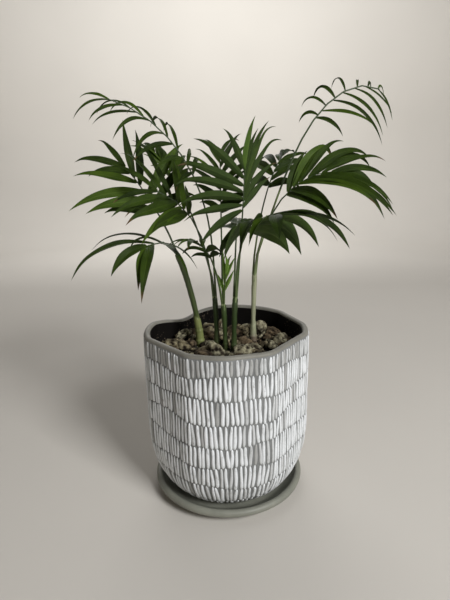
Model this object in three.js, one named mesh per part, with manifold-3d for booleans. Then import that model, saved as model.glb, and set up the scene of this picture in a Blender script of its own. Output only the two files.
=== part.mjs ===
// A parlour palm in a hand-made stoneware pot that stands on a round saucer.
// Millimetres, +Z up. The origin is the centre of the saucer's flat underside.
import * as THREE from 'three';
import * as BufferGeometryUtils from 'three/addons/utils/BufferGeometryUtils.js';
import Module from 'manifold-3d';

const wasm = await Module();
wasm.setup();

// ---------------------------------------------------------------- driving dimensions

const GAP = 0.3; // air between two pieces that rest on each other
const DEG = Math.PI / 180;
const GOLDEN_ANGLE = 137.508; // degrees from each stone of the spiral to the next

const SAUCER = {
  footRadius: 44,
  lipRadius: 57.4,
  height: 11,
  lipThickness: 5.4,
  floor: 5,
  lipTurns: [-63, 0, 54, 108, 162], // where the round lip's section has its corners
  coves: [[5.5, 2.2], [4.2, 1.6]], // the hollows under and inside the lip, from the foot
  segments: 40,
};

const POT = {
  bottom: SAUCER.floor + GAP,
  rim: 126,
  radius: 60,
  footRadius: 33,
  wall: 4.6,
  floorThickness: 7,
  roundHeight: 56, // the belly rounds in below this height above the foot
  fullness: 2.6, // 2 is an elliptic belly, more is a fuller one
  lipRound: 1.5,
  outerHeights: [0, 2, 6, 13, 24, 38, 56, 84, 112], // above the foot
  innerHeights: [14, 24, 38, 56, 84],
  segments: 40,
};

// Flats pressed into the soft clay: where they face and how deep their middle lies.
const FLATS = [
  { facing: 140, depth: 5.5 },
  { facing: 22, depth: 2.6 },
  { facing: -38, depth: 4.2 },
  { facing: -137, depth: 4 },
  { facing: -77, depth: 1 },
];
const FLAT_EDGE = 0.5; // how softly a flat turns into the round
const RIM_DIP = { facing: 130, depth: 5.9, width: 22 };

// Soil with stones on top, in a spiral that wanders by so many degrees. A stone keeps so
// many times its size away from the wall and from each cane.
const BED = { top: 107, stones: 62, smallest: 3.8, largest: 6.8, wander: 14, clear: 1.3, seed: 11 };

// Canes: foot on the bed, the lean at foot and tip, and the radius at foot, sheath and tip.
const STEMS = [
  {
    name: 'left_stem', foot: [-20, 12], azimuth: 190, lean: [4, 20],
    length: 74, radius: [2.3, 1.6, 2],
  },
  {
    name: 'inner_left_stem', foot: [-7, 6], azimuth: 170, lean: [0, 3],
    length: 40, radius: [1.8, 1.5, 2],
  },
  {
    name: 'centre_stem', foot: [-0.5, 0], azimuth: 200, lean: [1, 3],
    length: 36, radius: [1.7, 1.4, 2],
  },
  {
    name: 'inner_right_stem', foot: [5.5, -5], azimuth: 10, lean: [0, 4],
    length: 42, radius: [1.8, 1.5, 2],
  },
  {
    name: 'right_stem', foot: [21, 16], azimuth: 60, lean: [0, 5],
    length: 54, radius: [2.2, 1.4, 2],
  },
];

const CANE = { sides: 8, steps: 8, sheathEnd: 0.35 }; // its sheath ends at this share of it
const SEAT_RADIUS = 1.15; // how far a petiole starts from its stem's axis
const SETTLE = 0.14; // the share of a limb over which it leaves its stem's direction
const PETIOLE = { base: 0.8, tip: 0.45, sides: 3, step: 14 };
const LEAFLET = {
  stations: [0, 0.18, 0.42, 0.72, 1], // shares of the length where a section stands
  widest: 0.4,
  footWidth: 0.3, // of the widest
  tailWidth: 0.75, // how much slimmer the drip tip is
  thickness: 0.9,
  thicknessShare: 0.015, // of the length, on a long leaflet
};
// A blade's leaflets: their lengths at its foot and tip, how far the two sides alternate, and
// how much each one differs from its neighbours.
const BLADE = { footLength: 0.62, tipLength: 0.6, alternate: 0.22, end: 0.99 };
const VARIED = { place: 0.12, splay: 8, lift: 8, length: 0.14, width: 0.2, sag: 0.4 };

// Fronds. seat: the side of the stem's tip that the petiole stands on; azimuth: where the
// frond heads, 0 to the right and 90 away; turn: how far that swings by the tip; lean: from
// upright, at foot and tip; bare: the share without leaflets; roll: turn of the blade about
// its rib; lift: how far leaflets rise out of the blade; leaf: the longest leaflet and where
// on the blade it stands; half: half width of the first and the last; sides: length share of
// the right and the left ones; splay: leaflet to rib at the first and the last pair, on the
// right and on the left; sag: droop of the leaflets.
const FRONDS = [
  {
    name: 'frond_right_arching', stem: 'right_stem', seat: 30, azimuth: 0, turn: 15,
    lean: [19, 112], bow: 4, length: 174, bare: 0.68, pairs: 7, roll: 50, lift: 5,
    leaf: [46, 0.3], half: [1.4, 1.1], sides: [1, 0.55], splay: [[60, 50], [100, 60]],
    sag: 1.7, seed: 1,
  },
  {
    name: 'frond_right_broad', stem: 'right_stem', seat: -90, azimuth: -10, turn: 0,
    lean: [12, 95], bow: 2, length: 102, bare: 0.62, pairs: 8, roll: 50, lift: 15,
    leaf: [62, 0.5], half: [4, 2.4], sides: [1.15, 0.9], splay: [[52, 20], [40, 5]],
    sag: 1, seed: 2,
  },
  {
    name: 'frond_back_right', stem: 'right_stem', seat: 150, azimuth: 60, turn: 0,
    lean: [15, 60], bow: 1.5, length: 105, bare: 0.65, pairs: 5, roll: 0, lift: 0,
    leaf: [38, 0.5], half: [4, 3], sides: [1, 1], splay: [[55, 15], [55, 15]],
    sag: 1, seed: 3,
  },
  {
    name: 'frond_right_front', stem: 'inner_right_stem', seat: -70, azimuth: -75, turn: 35,
    lean: [3, 85], bow: 1.7, length: 78, bare: 0.65, pairs: 6, roll: 0, lift: 0,
    leaf: [62, 0.6], half: [6.5, 4], sides: [0.7, 1.1], splay: [[100, 50], [95, 25]],
    sag: 1.5, seed: 4,
  },
  {
    name: 'frond_centre_upright', stem: 'inner_right_stem', seat: 30, azimuth: -60, turn: 0,
    lean: [10, 6], bow: 1, length: 88, bare: 0.7, pairs: 7, roll: 0, lift: 10,
    leaf: [54, 0.6], half: [3, 2.5], sides: [1.05, 0.95], splay: [[105, 30], [40, 5]],
    sag: 0.42, seed: 5,
  },
  {
    name: 'frond_back_centre', stem: 'inner_right_stem', seat: 150, azimuth: 85, turn: 0,
    lean: [35, 110], bow: 2, length: 95, bare: 0.6, pairs: 5, roll: 0, lift: 0,
    leaf: [26, 0.5], half: [4, 3], sides: [1, 1], splay: [[50, 15], [50, 15]],
    sag: 0.6, seed: 6,
  },
  {
    name: 'frond_centre_tall', stem: 'centre_stem', seat: 90, azimuth: 90, turn: 0,
    lean: [0, 35], bow: 1.5, length: 108, bare: 0.6, pairs: 7, roll: 0, lift: 20,
    leaf: [35, 0.6], half: [2.5, 2], sides: [1, 0.8], splay: [[55, 30], [60, 30]],
    sag: 0.6, seed: 7,
  },
  {
    name: 'frond_front_small', stem: 'centre_stem', seat: 220, azimuth: -120, turn: 0,
    lean: [15, 75], bow: 2, length: 64, bare: 0.6, pairs: 5, roll: 0, lift: 0,
    leaf: [36, 0.5], half: [3, 2], sides: [0.65, 0.85], splay: [[50, 20], [50, 20]],
    sag: 1, seed: 9,
  },
  {
    name: 'young_leaf', stem: 'centre_stem', seat: -70, azimuth: -75, turn: 0,
    lean: [10, 20], bow: 1, length: 24, bare: 0.3, pairs: 3, roll: -30, lift: 20,
    leaf: [32, 0.5], half: [1.8, 1.5], sides: [0.9, 0.8], splay: [[14, 6], [14, 6]],
    sag: 0.1, seed: 5,
  },
  {
    name: 'frond_left_arching', stem: 'inner_left_stem', seat: 330, azimuth: 205, turn: -15,
    lean: [0, 75], bow: 1.8, length: 160, bare: 0.55, pairs: 8, roll: -40, lift: 0,
    leaf: [46, 0.4], half: [2, 1.3], sides: [0.8, 0.9], splay: [[60, 10], [70, 25]],
    sag: 1.5, seed: 10,
  },
  {
    name: 'frond_left_inner', stem: 'inner_left_stem', seat: 210, azimuth: 200, turn: 0,
    lean: [5, 70], bow: 2, length: 90, bare: 0.7, pairs: 6, roll: -45, lift: 0,
    leaf: [56, 0.5], half: [4, 2.4], sides: [1, 0.95], splay: [[60, 30], [70, 35]],
    sag: 0.4, seed: 11,
  },
  {
    name: 'frond_back_left', stem: 'inner_left_stem', seat: 90, azimuth: 135, turn: 0,
    lean: [20, 60], bow: 2, length: 125, bare: 0.7, pairs: 6, roll: 0, lift: 20,
    leaf: [36, 0.5], half: [4, 3], sides: [1, 1], splay: [[45, 12], [45, 12]],
    sag: 0.4, seed: 12,
  },
  {
    name: 'frond_left_broad', stem: 'left_stem', seat: 90, azimuth: 170, turn: 0,
    lean: [20, 40], bow: 1, length: 70, bare: 0.45, pairs: 6, roll: -55, lift: 5,
    leaf: [62, 0.25], half: [4.6, 2.4], sides: [0.85, 0.85], splay: [[75, 10], [60, 40]],
    sag: 0.5, seed: 13,
  },
  {
    name: 'frond_left_low', stem: 'left_stem', seat: 250, azimuth: 235, turn: 0,
    lean: [35, 110], bow: 1, length: 32, bare: 0.4, pairs: 4, roll: -15, lift: 10,
    leaf: [62, 0.5], half: [1.5, 4.2], sides: [1, 0.9], splay: [[70, 20], [85, 20]],
    sag: 1.3, seed: 14,
  },
];

// ---------------------------------------------------------------- numbers and curves

/** A repeatable number from -1 to 1 for a seed and an index. */
const scatter = (seed, index) => {
  const value = Math.sin(seed * 12.9898 + index * 78.233) * 43758.5453;
  return 2 * (value - Math.floor(value)) - 1;
};

const mix = THREE.MathUtils.lerp;
const smooth = THREE.MathUtils.smoothstep;
const bell = (angle, centre, width) => {
  const away = THREE.MathUtils.euclideanModulo(angle - centre + 180, 360) - 180;
  return Math.exp(-((away / width) ** 2));
};

/** The direction that leans so many degrees from upright towards an azimuth. */
const heading = (azimuth, lean) => new THREE.Vector3(
  Math.cos(azimuth * DEG) * Math.sin(lean * DEG),
  Math.sin(azimuth * DEG) * Math.sin(lean * DEG),
  Math.cos(lean * DEG),
);

/** Points, directions and frames along a limb that leaves an axis and leans out to its tip. */
const growLimb = (start, axis, { azimuth, turn = 0, lean, bow = 1, length, roll = 0 }, steps) => {
  const towards = (share) => {
    const own = heading(azimuth + turn * share, mix(lean[0], lean[1], share ** bow));
    return axis.clone().lerp(own, smooth(share, 0, SETTLE)).normalize();
  };
  const stations = [];
  const point = start.clone();
  for (let i = 0; i <= steps; i += 1) {
    const share = i / steps;
    const along = towards(share);
    const swing = (azimuth + turn * share + 90) * DEG;
    const level = new THREE.Vector3(Math.cos(swing), Math.sin(swing), 0);
    const side = level.addScaledVector(along, -level.dot(along)).normalize();
    const up = along.clone().cross(side);
    side.applyAxisAngle(along, roll * DEG);
    up.applyAxisAngle(along, roll * DEG);
    stations.push({ share, point: point.clone(), along, side, up });
    if (i < steps) point.addScaledVector(towards((i + 0.5) / steps), length / steps);
  }
  return stations;
};

/** The station at a share of a limb, between the two nearest ones. */
const stationAt = (stations, share) => {
  const place = share * (stations.length - 1);
  const low = Math.min(Math.floor(place), stations.length - 2);
  const [a, b, t] = [stations[low], stations[low + 1], place - low];
  return {
    point: a.point.clone().lerp(b.point, t),
    along: a.along.clone().lerp(b.along, t).normalize(),
    side: a.side.clone().lerp(b.side, t).normalize(),
    up: a.up.clone().lerp(b.up, t).normalize(),
  };
};

// ---------------------------------------------------------------- solids

/** The triangles between corners k and next of two courses; four corners part the short way. */
const faces = (low, high, k, next) => {
  const [a, b, c, d] = [low.first + k, low.first + next, high.first + next, high.first + k];
  if (low.ring.length === 1) return [low.first, c, d];
  if (high.ring.length === 1) return [a, b, high.first];
  const spans = [low.ring[k].distanceTo(high.ring[next]), low.ring[next].distanceTo(high.ring[k])];
  return spans[0] <= spans[1] ? [a, b, c, a, c, d] : [a, b, d, b, c, d];
};

/** A closed skin over rings of points; a ring of one point is a tip or a centre. */
const loft = (rings) => {
  const positions = [];
  const index = [];
  const courses = rings.map((ring) => {
    const first = positions.length / 3;
    ring.forEach((p) => positions.push(p.x, p.y, p.z));
    return { ring, first };
  });
  const count = Math.max(...rings.map((ring) => ring.length));
  for (let r = 0; r + 1 < rings.length; r += 1) {
    for (let k = 0; k < count; k += 1) {
      index.push(...faces(courses[r], courses[r + 1], k, (k + 1) % count));
    }
  }
  const close = ({ ring, first }, forward) => {
    for (let k = 1; k + 1 < ring.length; k += 1) {
      index.push(first, ...(forward ? [first + k, first + k + 1] : [first + k + 1, first + k]));
    }
  };
  close(courses[0], false);
  close(courses.at(-1), true);
  const geometry = new THREE.BufferGeometry();
  geometry.setAttribute('position', new THREE.Float32BufferAttribute(positions, 3));
  geometry.setIndex(index);
  return geometry;
};

/** A tapering round limb over stations. */
const limbGeometry = (stations, radiusAt, sides) => loft(stations.map((station) => {
  const radius = radiusAt(station.share);
  return Array.from({ length: sides }, (_, k) => {
    const angle = (k / sides) * 2 * Math.PI;
    return station.point.clone()
      .addScaledVector(station.side, radius * Math.cos(angle))
      .addScaledVector(station.up, radius * Math.sin(angle));
  });
}));

const toSolid = (geometry) => {
  const bare = geometry.clone();
  bare.deleteAttribute('normal');
  bare.deleteAttribute('uv');
  const merged = BufferGeometryUtils.mergeVertices(bare, 1e-4);
  return new wasm.Manifold(new wasm.Mesh({
    numProp: 3,
    vertProperties: new Float32Array(merged.attributes.position.array),
    triVerts: new Uint32Array(merged.index.array),
  }));
};

const toGeometry = (solid) => {
  const mesh = solid.getMesh();
  const geometry = new THREE.BufferGeometry();
  geometry.setAttribute('position', new THREE.BufferAttribute(new Float32Array(mesh.vertProperties), 3));
  geometry.setIndex(new THREE.BufferAttribute(new Uint32Array(mesh.triVerts), 1));
  geometry.computeVertexNormals();
  return geometry;
};

const joined = (geometries) => geometries.map(toSolid).reduce((whole, piece) => whole.add(piece));

// ---------------------------------------------------------------- leaflets and fronds

/** The share of a leaflet's half width at a share of its length. */
const leafletWidth = (share) => {
  const { widest, footWidth, tailWidth } = LEAFLET;
  if (share < widest) return mix(footWidth, 1, Math.sin((share / widest) * 0.5 * Math.PI) ** 0.9);
  const rest = (share - widest) / (1 - widest);
  return Math.cos(rest * 0.5 * Math.PI) ** 0.85 * mix(1, tailWidth, rest);
};

/** One leaflet: a thin blade with a keel below, which sags and ends in a point. */
const leafletGeometry = (base, direction, normal, length, halfWidth, sag) => {
  const point = base.clone();
  const rings = [];
  let last = 0;
  LEAFLET.stations.forEach((share) => {
    const step = (share - last) * length;
    const middle = (share + last) / 2;
    const drooped = (at) => {
      const droop = new THREE.Vector3(0, 0, -sag * at ** 1.5);
      return direction.clone().add(droop).normalize();
    };
    point.addScaledVector(drooped(middle), step);
    const along = drooped(share);
    const across = normal.clone().cross(along).normalize();
    const up = along.clone().cross(across);
    const half = halfWidth * leafletWidth(share);
    const thick = Math.max(LEAFLET.thickness, LEAFLET.thicknessShare * length) * mix(1, 0.5, share);
    rings.push(share === 0 || share === 1 ? [point.clone()] : [
      point.clone().addScaledVector(across, half),
      point.clone().addScaledVector(across, -half),
      point.clone().addScaledVector(up, -thick),
    ]);
    last = share;
  });
  return loft(rings);
};

/** How long the leaflets are at a place along the blade. */
const leafletLength = (place, longest) => (
  mix(BLADE.footLength, 1, Math.sin(Math.min(place / longest, 1) * 0.5 * Math.PI))
    * mix(1, BLADE.tipLength, smooth(place, longest, 1)));

/** One leaflet of a frond, on the left (1) or right (-1) hand of a pair. */
const leafletOf = (frond, stations, pair, hand) => {
  const own = hand > 0 ? 1 : 0;
  const draw = (k) => scatter(frond.seed, pair * 2 + own + 40 * k);
  const last = frond.pairs - 1;
  const shift = pair < last ? BLADE.alternate * hand + VARIED.place * draw(0) : 0;
  const place = THREE.MathUtils.clamp((pair + shift) / last, 0, 1);
  const { point, along, side, up } = stationAt(stations, mix(frond.bare, BLADE.end, place));
  const splay = (mix(...frond.splay[own], place) + VARIED.splay * draw(1)) * DEG;
  const lift = (frond.lift + VARIED.lift * draw(2)) * DEG;
  const out = side.clone().multiplyScalar(hand * Math.cos(lift)).addScaledVector(up, Math.sin(lift));
  const direction = along.multiplyScalar(Math.cos(splay)).addScaledVector(out, Math.sin(splay));
  const normal = up.multiplyScalar(Math.cos(lift)).addScaledVector(side, -hand * Math.sin(lift));
  const [longest, middle] = frond.leaf;
  const length = longest * leafletLength(place, middle) * frond.sides[own] * (1 + VARIED.length * draw(3));
  const half = mix(...frond.half, place) * (1 + VARIED.width * draw(4));
  const sag = frond.sag * (1 + VARIED.sag * draw(5));
  return leafletGeometry(point, direction, normal, length, half, sag);
};

/** A frond: a slender rib with pairs of leaflets, joined into one body. */
const frondSolid = (frond, stations) => {
  const rib = limbGeometry(stations, (share) => mix(PETIOLE.base, PETIOLE.tip, share), PETIOLE.sides);
  const pairs = Array.from({ length: frond.pairs }, (_, pair) => (
    [-1, 1].map((hand) => leafletOf(frond, stations, pair, hand))
  ));
  return joined([rib, ...pairs.flat()]);
};

// ---------------------------------------------------------------- pot, saucer and bed

/** How far the flats press the pot's plan in at an angle in degrees: chords with soft edges. */
const pressedIn = (angle) => FLATS.reduce((sum, { facing, depth }) => {
  const chord = POT.radius - (POT.radius - depth) / Math.max(0.5, Math.cos((angle - facing) * DEG));
  return sum + 0.5 * (chord + Math.hypot(chord, FLAT_EDGE));
}, 0);

/** The pot's outer radius at a height over its foot: upright above, rounded in below. */
const bellyRadius = (height) => {
  if (height >= POT.roundHeight) return POT.radius;
  const share = 1 - height / POT.roundHeight;
  return mix(POT.footRadius, POT.radius, Math.sqrt(1 - share ** POT.fullness));
};

/** A level ring of the pot: a radius, a height and how much of the flats it takes. */
const potRing = (radius, height, pressed) => Array.from({ length: POT.segments }, (_, k) => {
  const angle = (k / POT.segments) * 360;
  const away = radius - pressed * pressedIn(angle);
  const rise = (height - POT.bottom) / (POT.rim - POT.bottom);
  const dip = RIM_DIP.depth * bell(angle, RIM_DIP.facing, RIM_DIP.width) * rise ** 3;
  return new THREE.Vector3(away * Math.cos(angle * DEG), away * Math.sin(angle * DEG), height - dip);
});

const pressedAt = (height) => smooth(height, POT.bottom, POT.bottom + POT.roundHeight);

/** A ring of the belly, so far inside its outer face. */
const bellyRing = (height, inset) => {
  const z = POT.bottom + height;
  return potRing(bellyRadius(height) - inset, z, pressedAt(z));
};

const potGeometry = () => {
  const { bottom, rim, radius, wall, lipRound, outerHeights, innerHeights } = POT;
  const outer = outerHeights.map((height) => bellyRing(height, 0));
  const lip = [[0, -lipRound], [-lipRound, 0], [lipRound - wall, 0], [-wall, -lipRound]]
    .map(([dr, dz]) => potRing(radius + dr, rim + dz, 1));
  const inner = innerHeights.toReversed().map((height) => bellyRing(height, wall));
  const floor = bottom + POT.floorThickness;
  return loft([
    [new THREE.Vector3(0, 0, bottom)], ...outer, ...lip, ...inner,
    potRing(POT.footRadius - wall, floor, 0), [new THREE.Vector3(0, 0, floor)],
  ]);
};

/** The space inside the pot, a gap clear of its wall, from its floor up to a height. */
const cavityGeometry = (top) => {
  const floor = POT.bottom + POT.floorThickness + GAP;
  const inset = POT.wall + 1.3 * GAP;
  const heights = [...POT.innerHeights.filter((height) => POT.bottom + height < top), top - POT.bottom];
  return loft([
    [new THREE.Vector3(0, 0, floor)], potRing(POT.footRadius - inset - GAP, floor, 0),
    ...heights.map((height) => bellyRing(height, inset)), [new THREE.Vector3(0, 0, top)],
  ]);
};

/** A dish turned about its axis, with a thick round lip. */
const saucerGeometry = () => {
  const { footRadius, lipRadius, height, lipThickness, floor, lipTurns, coves, segments } = SAUCER;
  const half = lipThickness / 2;
  const lip = lipTurns.map((turn) => [
    lipRadius - half + half * Math.cos(turn * DEG),
    height - half + half * Math.sin(turn * DEG),
  ]);
  const profile = [
    [0, 0], [footRadius, 0], [footRadius + coves[0][0], coves[0][1]], ...lip,
    [footRadius + coves[1][0], floor + coves[1][1]], [footRadius + 1, floor], [0, floor],
  ].map(([radius, z]) => new THREE.Vector2(radius, z));
  return new THREE.LatheGeometry(profile, segments).rotateX(90 * DEG);
};

/** Where the stones lie: a turning spiral over the bed, in from the wall and off the stems. */
const stonePlaces = () => Array.from({ length: BED.stones }, (_, index) => {
  const draw = (k) => scatter(BED.seed, index * 9 + k);
  const size = mix(BED.smallest, BED.largest, (draw(1) + 1) / 2);
  const angle = index * GOLDEN_ANGLE + BED.wander * draw(0);
  const wall = POT.radius - POT.wall - pressedIn(angle) - BED.clear * size - 1;
  const reach = wall * Math.sqrt((index + 0.5) / BED.stones);
  const foot = [reach * Math.cos(angle * DEG), reach * Math.sin(angle * DEG)];
  return { foot, size, draw };
}).filter(({ foot, size }) => STEMS.every((stem) => (
  Math.hypot(foot[0] - stem.foot[0], foot[1] - stem.foot[1]) > stem.radius[0] + BED.clear * size + GAP
)));

/** A rough stone: a squashed, turned lump. */
const stoneGeometry = ({ foot, size, draw }) => {
  const stone = new THREE.IcosahedronGeometry(size, 0);
  stone.scale(1 + 0.3 * draw(2), 1 + 0.25 * draw(3), 0.85 + 0.15 * draw(4));
  stone.rotateX(draw(5) * Math.PI);
  stone.rotateZ(draw(6) * Math.PI);
  return stone.translate(foot[0], foot[1], BED.top + size * (0.3 + 0.25 * draw(7)));
};

const bedSolid = () => joined([cavityGeometry(BED.top), ...stonePlaces().map(stoneGeometry)]);

// ---------------------------------------------------------------- the whole plant

const COLOURS = {
  saucer: 0x8d8f89, pot: 0xb9b9b3, bed: 0x8a7d6d, cane: 0x6f8a4a, frond: 0x2f5224, shoot: 0x6f9a35,
};

const plant = new THREE.Group();

const place = (name, geometry, color, roughness) => {
  const mesh = new THREE.Mesh(geometry, new THREE.MeshStandardMaterial({ color, roughness, metalness: 0 }));
  mesh.name = name;
  plant.add(mesh);
};

/** A cane's radius: it tapers up its sheath and swells again where the petioles leave it. */
const caneRadius = ({ radius: [foot, waist, head] }) => (share) => (share < CANE.sheathEnd
  ? mix(foot, waist, share / CANE.sheathEnd)
  : mix(waist, head, (share - CANE.sheathEnd) / (1 - CANE.sheathEnd)));

const stems = new Map(STEMS.map((stem) => {
  const start = new THREE.Vector3(...stem.foot, BED.top + GAP);
  const stations = growLimb(start, new THREE.Vector3(0, 0, 1), stem, CANE.steps);
  return [stem.name, { ...stem, stations }];
}));

place('saucer', saucerGeometry(), COLOURS.saucer, 0.7);
place('pot', potGeometry(), COLOURS.pot, 0.6);
place('bed', toGeometry(bedSolid()), COLOURS.bed, 0.95);

stems.forEach((stem) => {
  place(stem.name, limbGeometry(stem.stations, caneRadius(stem), CANE.sides), COLOURS.cane, 0.5);
});

FRONDS.forEach((frond) => {
  const tip = stems.get(frond.stem).stations.at(-1);
  const seat = heading(frond.seat, 90);
  const start = tip.point.clone()
    .addScaledVector(tip.along, GAP)
    .addScaledVector(seat.addScaledVector(tip.along, -seat.dot(tip.along)).normalize(), SEAT_RADIUS);
  const stations = growLimb(start, tip.along, frond, Math.round(frond.length / PETIOLE.step));
  const colour = frond.name === 'young_leaf' ? COLOURS.shoot : COLOURS.frond;
  place(frond.name, toGeometry(frondSolid(frond, stations)), colour, 0.45);
});

export default plant;
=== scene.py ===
"""A parlour palm in a stoneware pot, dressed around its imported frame.

The fronds grow again here by the rule of the part's source, with finer leaflets. The pot is
thrown ring by ring, and its slip strokes, the stones and the leaves are joined meshes.
Lengths are millimetres until a mesh is made, and MM turns them into metres.
"""

import logging
import math
from collections.abc import Callable, Iterable, Sequence
from dataclasses import dataclass
from enum import Enum
from itertools import pairwise

import bpy
import numpy as np
from bpy.types import Material, NodeSocket, Object
from mathutils import Matrix, Vector, noise


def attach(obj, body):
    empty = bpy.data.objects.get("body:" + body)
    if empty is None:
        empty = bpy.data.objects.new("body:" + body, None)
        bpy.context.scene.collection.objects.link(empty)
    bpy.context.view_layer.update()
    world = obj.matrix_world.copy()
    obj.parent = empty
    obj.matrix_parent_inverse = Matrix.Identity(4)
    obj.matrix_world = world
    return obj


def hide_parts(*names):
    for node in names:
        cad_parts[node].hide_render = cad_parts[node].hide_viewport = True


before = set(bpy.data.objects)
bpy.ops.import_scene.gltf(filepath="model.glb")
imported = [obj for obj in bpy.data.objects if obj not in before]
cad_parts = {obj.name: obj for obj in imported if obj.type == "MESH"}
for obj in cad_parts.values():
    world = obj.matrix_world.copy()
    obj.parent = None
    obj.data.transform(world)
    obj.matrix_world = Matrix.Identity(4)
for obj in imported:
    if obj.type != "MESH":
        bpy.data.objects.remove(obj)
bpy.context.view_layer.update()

MM = 0.001
BODY = "root"
GAP = 0.3  # the air between two pieces that rest on each other
GOLDEN_ANGLE = 137.508

Colour = tuple[float, float, float]
Sockets = dict[int | str, object]

log = logging.getLogger("palm")


# ------------------------------ numbers and curves


def scatter(seed: float, index: float) -> float:
    """A repeatable number from -1 to 1 for a seed and an index."""
    value = math.sin(seed * 12.9898 + index * 78.233) * 43758.5453
    return 2 * (value - math.floor(value)) - 1


def mix(first: float, second: float, share: float) -> float:
    """The value at a share of the way from first to second."""
    return first + (second - first) * share


def smooth(value: float, low: float, high: float) -> float:
    """A soft step from 0 at low to 1 at high."""
    share = min(1.0, max(0.0, (value - low) / (high - low)))
    return share * share * (3 - 2 * share)


def bell(angle: float, centre: float, width: float) -> float:
    """A soft bump of height 1 about a centre, in degrees round a circle."""
    away = (angle - centre + 180) % 360 - 180
    return math.exp(-((away / width) ** 2))


def heading(azimuth: float, lean: float) -> Vector:
    """The direction that leans so many degrees from upright towards an azimuth."""
    turn, tilt = math.radians(azimuth), math.radians(lean)
    return Vector((math.cos(turn) * math.sin(tilt), math.sin(turn) * math.sin(tilt), math.cos(tilt)))


@dataclass(frozen=True)
class Station:
    """A place along a limb: its share of the length, its point and its frame."""

    share: float
    point: Vector
    along: Vector
    side: Vector
    up: Vector


@dataclass(frozen=True)
class Limb:
    """A limb that leaves an axis and leans out to its tip, as in the part's source."""

    azimuth: float
    lean: tuple[float, float]  # from upright in degrees, at its foot and its tip
    length: float
    turn: float = 0.0  # how far its azimuth turns from foot to tip
    bow: float = 1.0  # how late it bends: 1 is even
    roll: float = 0.0
    settle: float = 0.14  # the share of its length in which it leaves the axis

    def towards(self, axis: Vector, share: float) -> Vector:
        """The limb's direction at a share of its length.

        Args:
            axis: The direction of what carries the limb.
            share: The share of the limb's length.

        Returns:
            A unit vector.
        """
        lean = mix(self.lean[0], self.lean[1], share**self.bow)
        own = heading(self.azimuth + self.turn * share, lean)
        return axis.lerp(own, smooth(share, 0, self.settle)).normalized()

    def grow(self, start: Vector, axis: Vector, steps: int) -> list[Station]:
        """Walks the limb from its foot to its tip.

        Args:
            start: Where the limb begins.
            axis: The direction of what carries it.
            steps: How many steps the walk takes.

        Returns:
            One more station than there are steps.
        """
        stations = []
        point = start.copy()
        for index in range(steps + 1):
            share = index / steps
            along = self.towards(axis, share)
            level = heading(self.azimuth + self.turn * share + 90, 90)
            side = (level - along * level.dot(along)).normalized()
            up = along.cross(side)
            rolled = Matrix.Rotation(math.radians(self.roll), 3, along)
            stations.append(Station(share, point.copy(), along, rolled @ side, rolled @ up))
            if index < steps:
                point += self.towards(axis, (index + 0.5) / steps) * (self.length / steps)
        return stations


def station_at(stations: Sequence[Station], share: float) -> Station:
    """The station at a share of a limb, between the two nearest ones.

    Args:
        stations: The limb's stations from foot to tip, evenly spaced.
        share: The share of the limb's length, 0 to 1.

    Returns:
        The station there.
    """
    place = share * (len(stations) - 1)
    low = min(int(place), len(stations) - 2)
    a, b, t = stations[low], stations[low + 1], place - low
    return Station(
        share,
        a.point.lerp(b.point, t),
        a.along.lerp(b.along, t).normalized(),
        a.side.lerp(b.side, t).normalized(),
        a.up.lerp(b.up, t).normalized(),
    )


# ------------------------------ paint


class Wire:
    """A socket of a material's nodes that takes part in shader arithmetic."""

    def __init__(self, paint: "Paint", socket: NodeSocket) -> None:
        """Wraps a socket.

        Args:
            paint: The paint that the socket's node belongs to.
            socket: The output socket.
        """
        self.paint = paint
        self.socket = socket

    def _maths(self, operation: str, first: object, second: object) -> "Wire":
        """Adds a Math node for two values or wires."""
        return self.paint.node("ShaderNodeMath", {"operation": operation}, {0: first, 1: second})

    def __add__(self, other: object) -> "Wire":
        """self + other."""
        return self._maths("ADD", self, other)

    def __radd__(self, other: object) -> "Wire":
        """other + self."""
        return self._maths("ADD", other, self)

    def __sub__(self, other: object) -> "Wire":
        """self - other."""
        return self._maths("SUBTRACT", self, other)

    def __rsub__(self, other: object) -> "Wire":
        """other - self."""
        return self._maths("SUBTRACT", other, self)

    def __mul__(self, other: object) -> "Wire":
        """self * other."""
        return self._maths("MULTIPLY", self, other)

    def __rmul__(self, other: object) -> "Wire":
        """other * self."""
        return self._maths("MULTIPLY", other, self)

    def sine(self) -> "Wire":
        """The sine of the value, in radians."""
        return self._maths("SINE", self, 0.0)

    def size(self) -> "Wire":
        """The value without its sign."""
        return self._maths("ABSOLUTE", self, 0.0)

    def step(self, low: float, high: float) -> "Wire":
        """A soft step.

        Args:
            low: Where the step is still 0.
            high: Where it has reached 1, which may be the lower of the two.

        Returns:
            The step as a wire, 0 to 1.
        """
        settings = {"interpolation_type": "SMOOTHSTEP"}
        if low < high:
            return self.paint.node("ShaderNodeMapRange", settings, {0: self, 1: low, 2: high})
        return 1 - self.paint.node("ShaderNodeMapRange", settings, {0: self, 1: high, 2: low})


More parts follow.
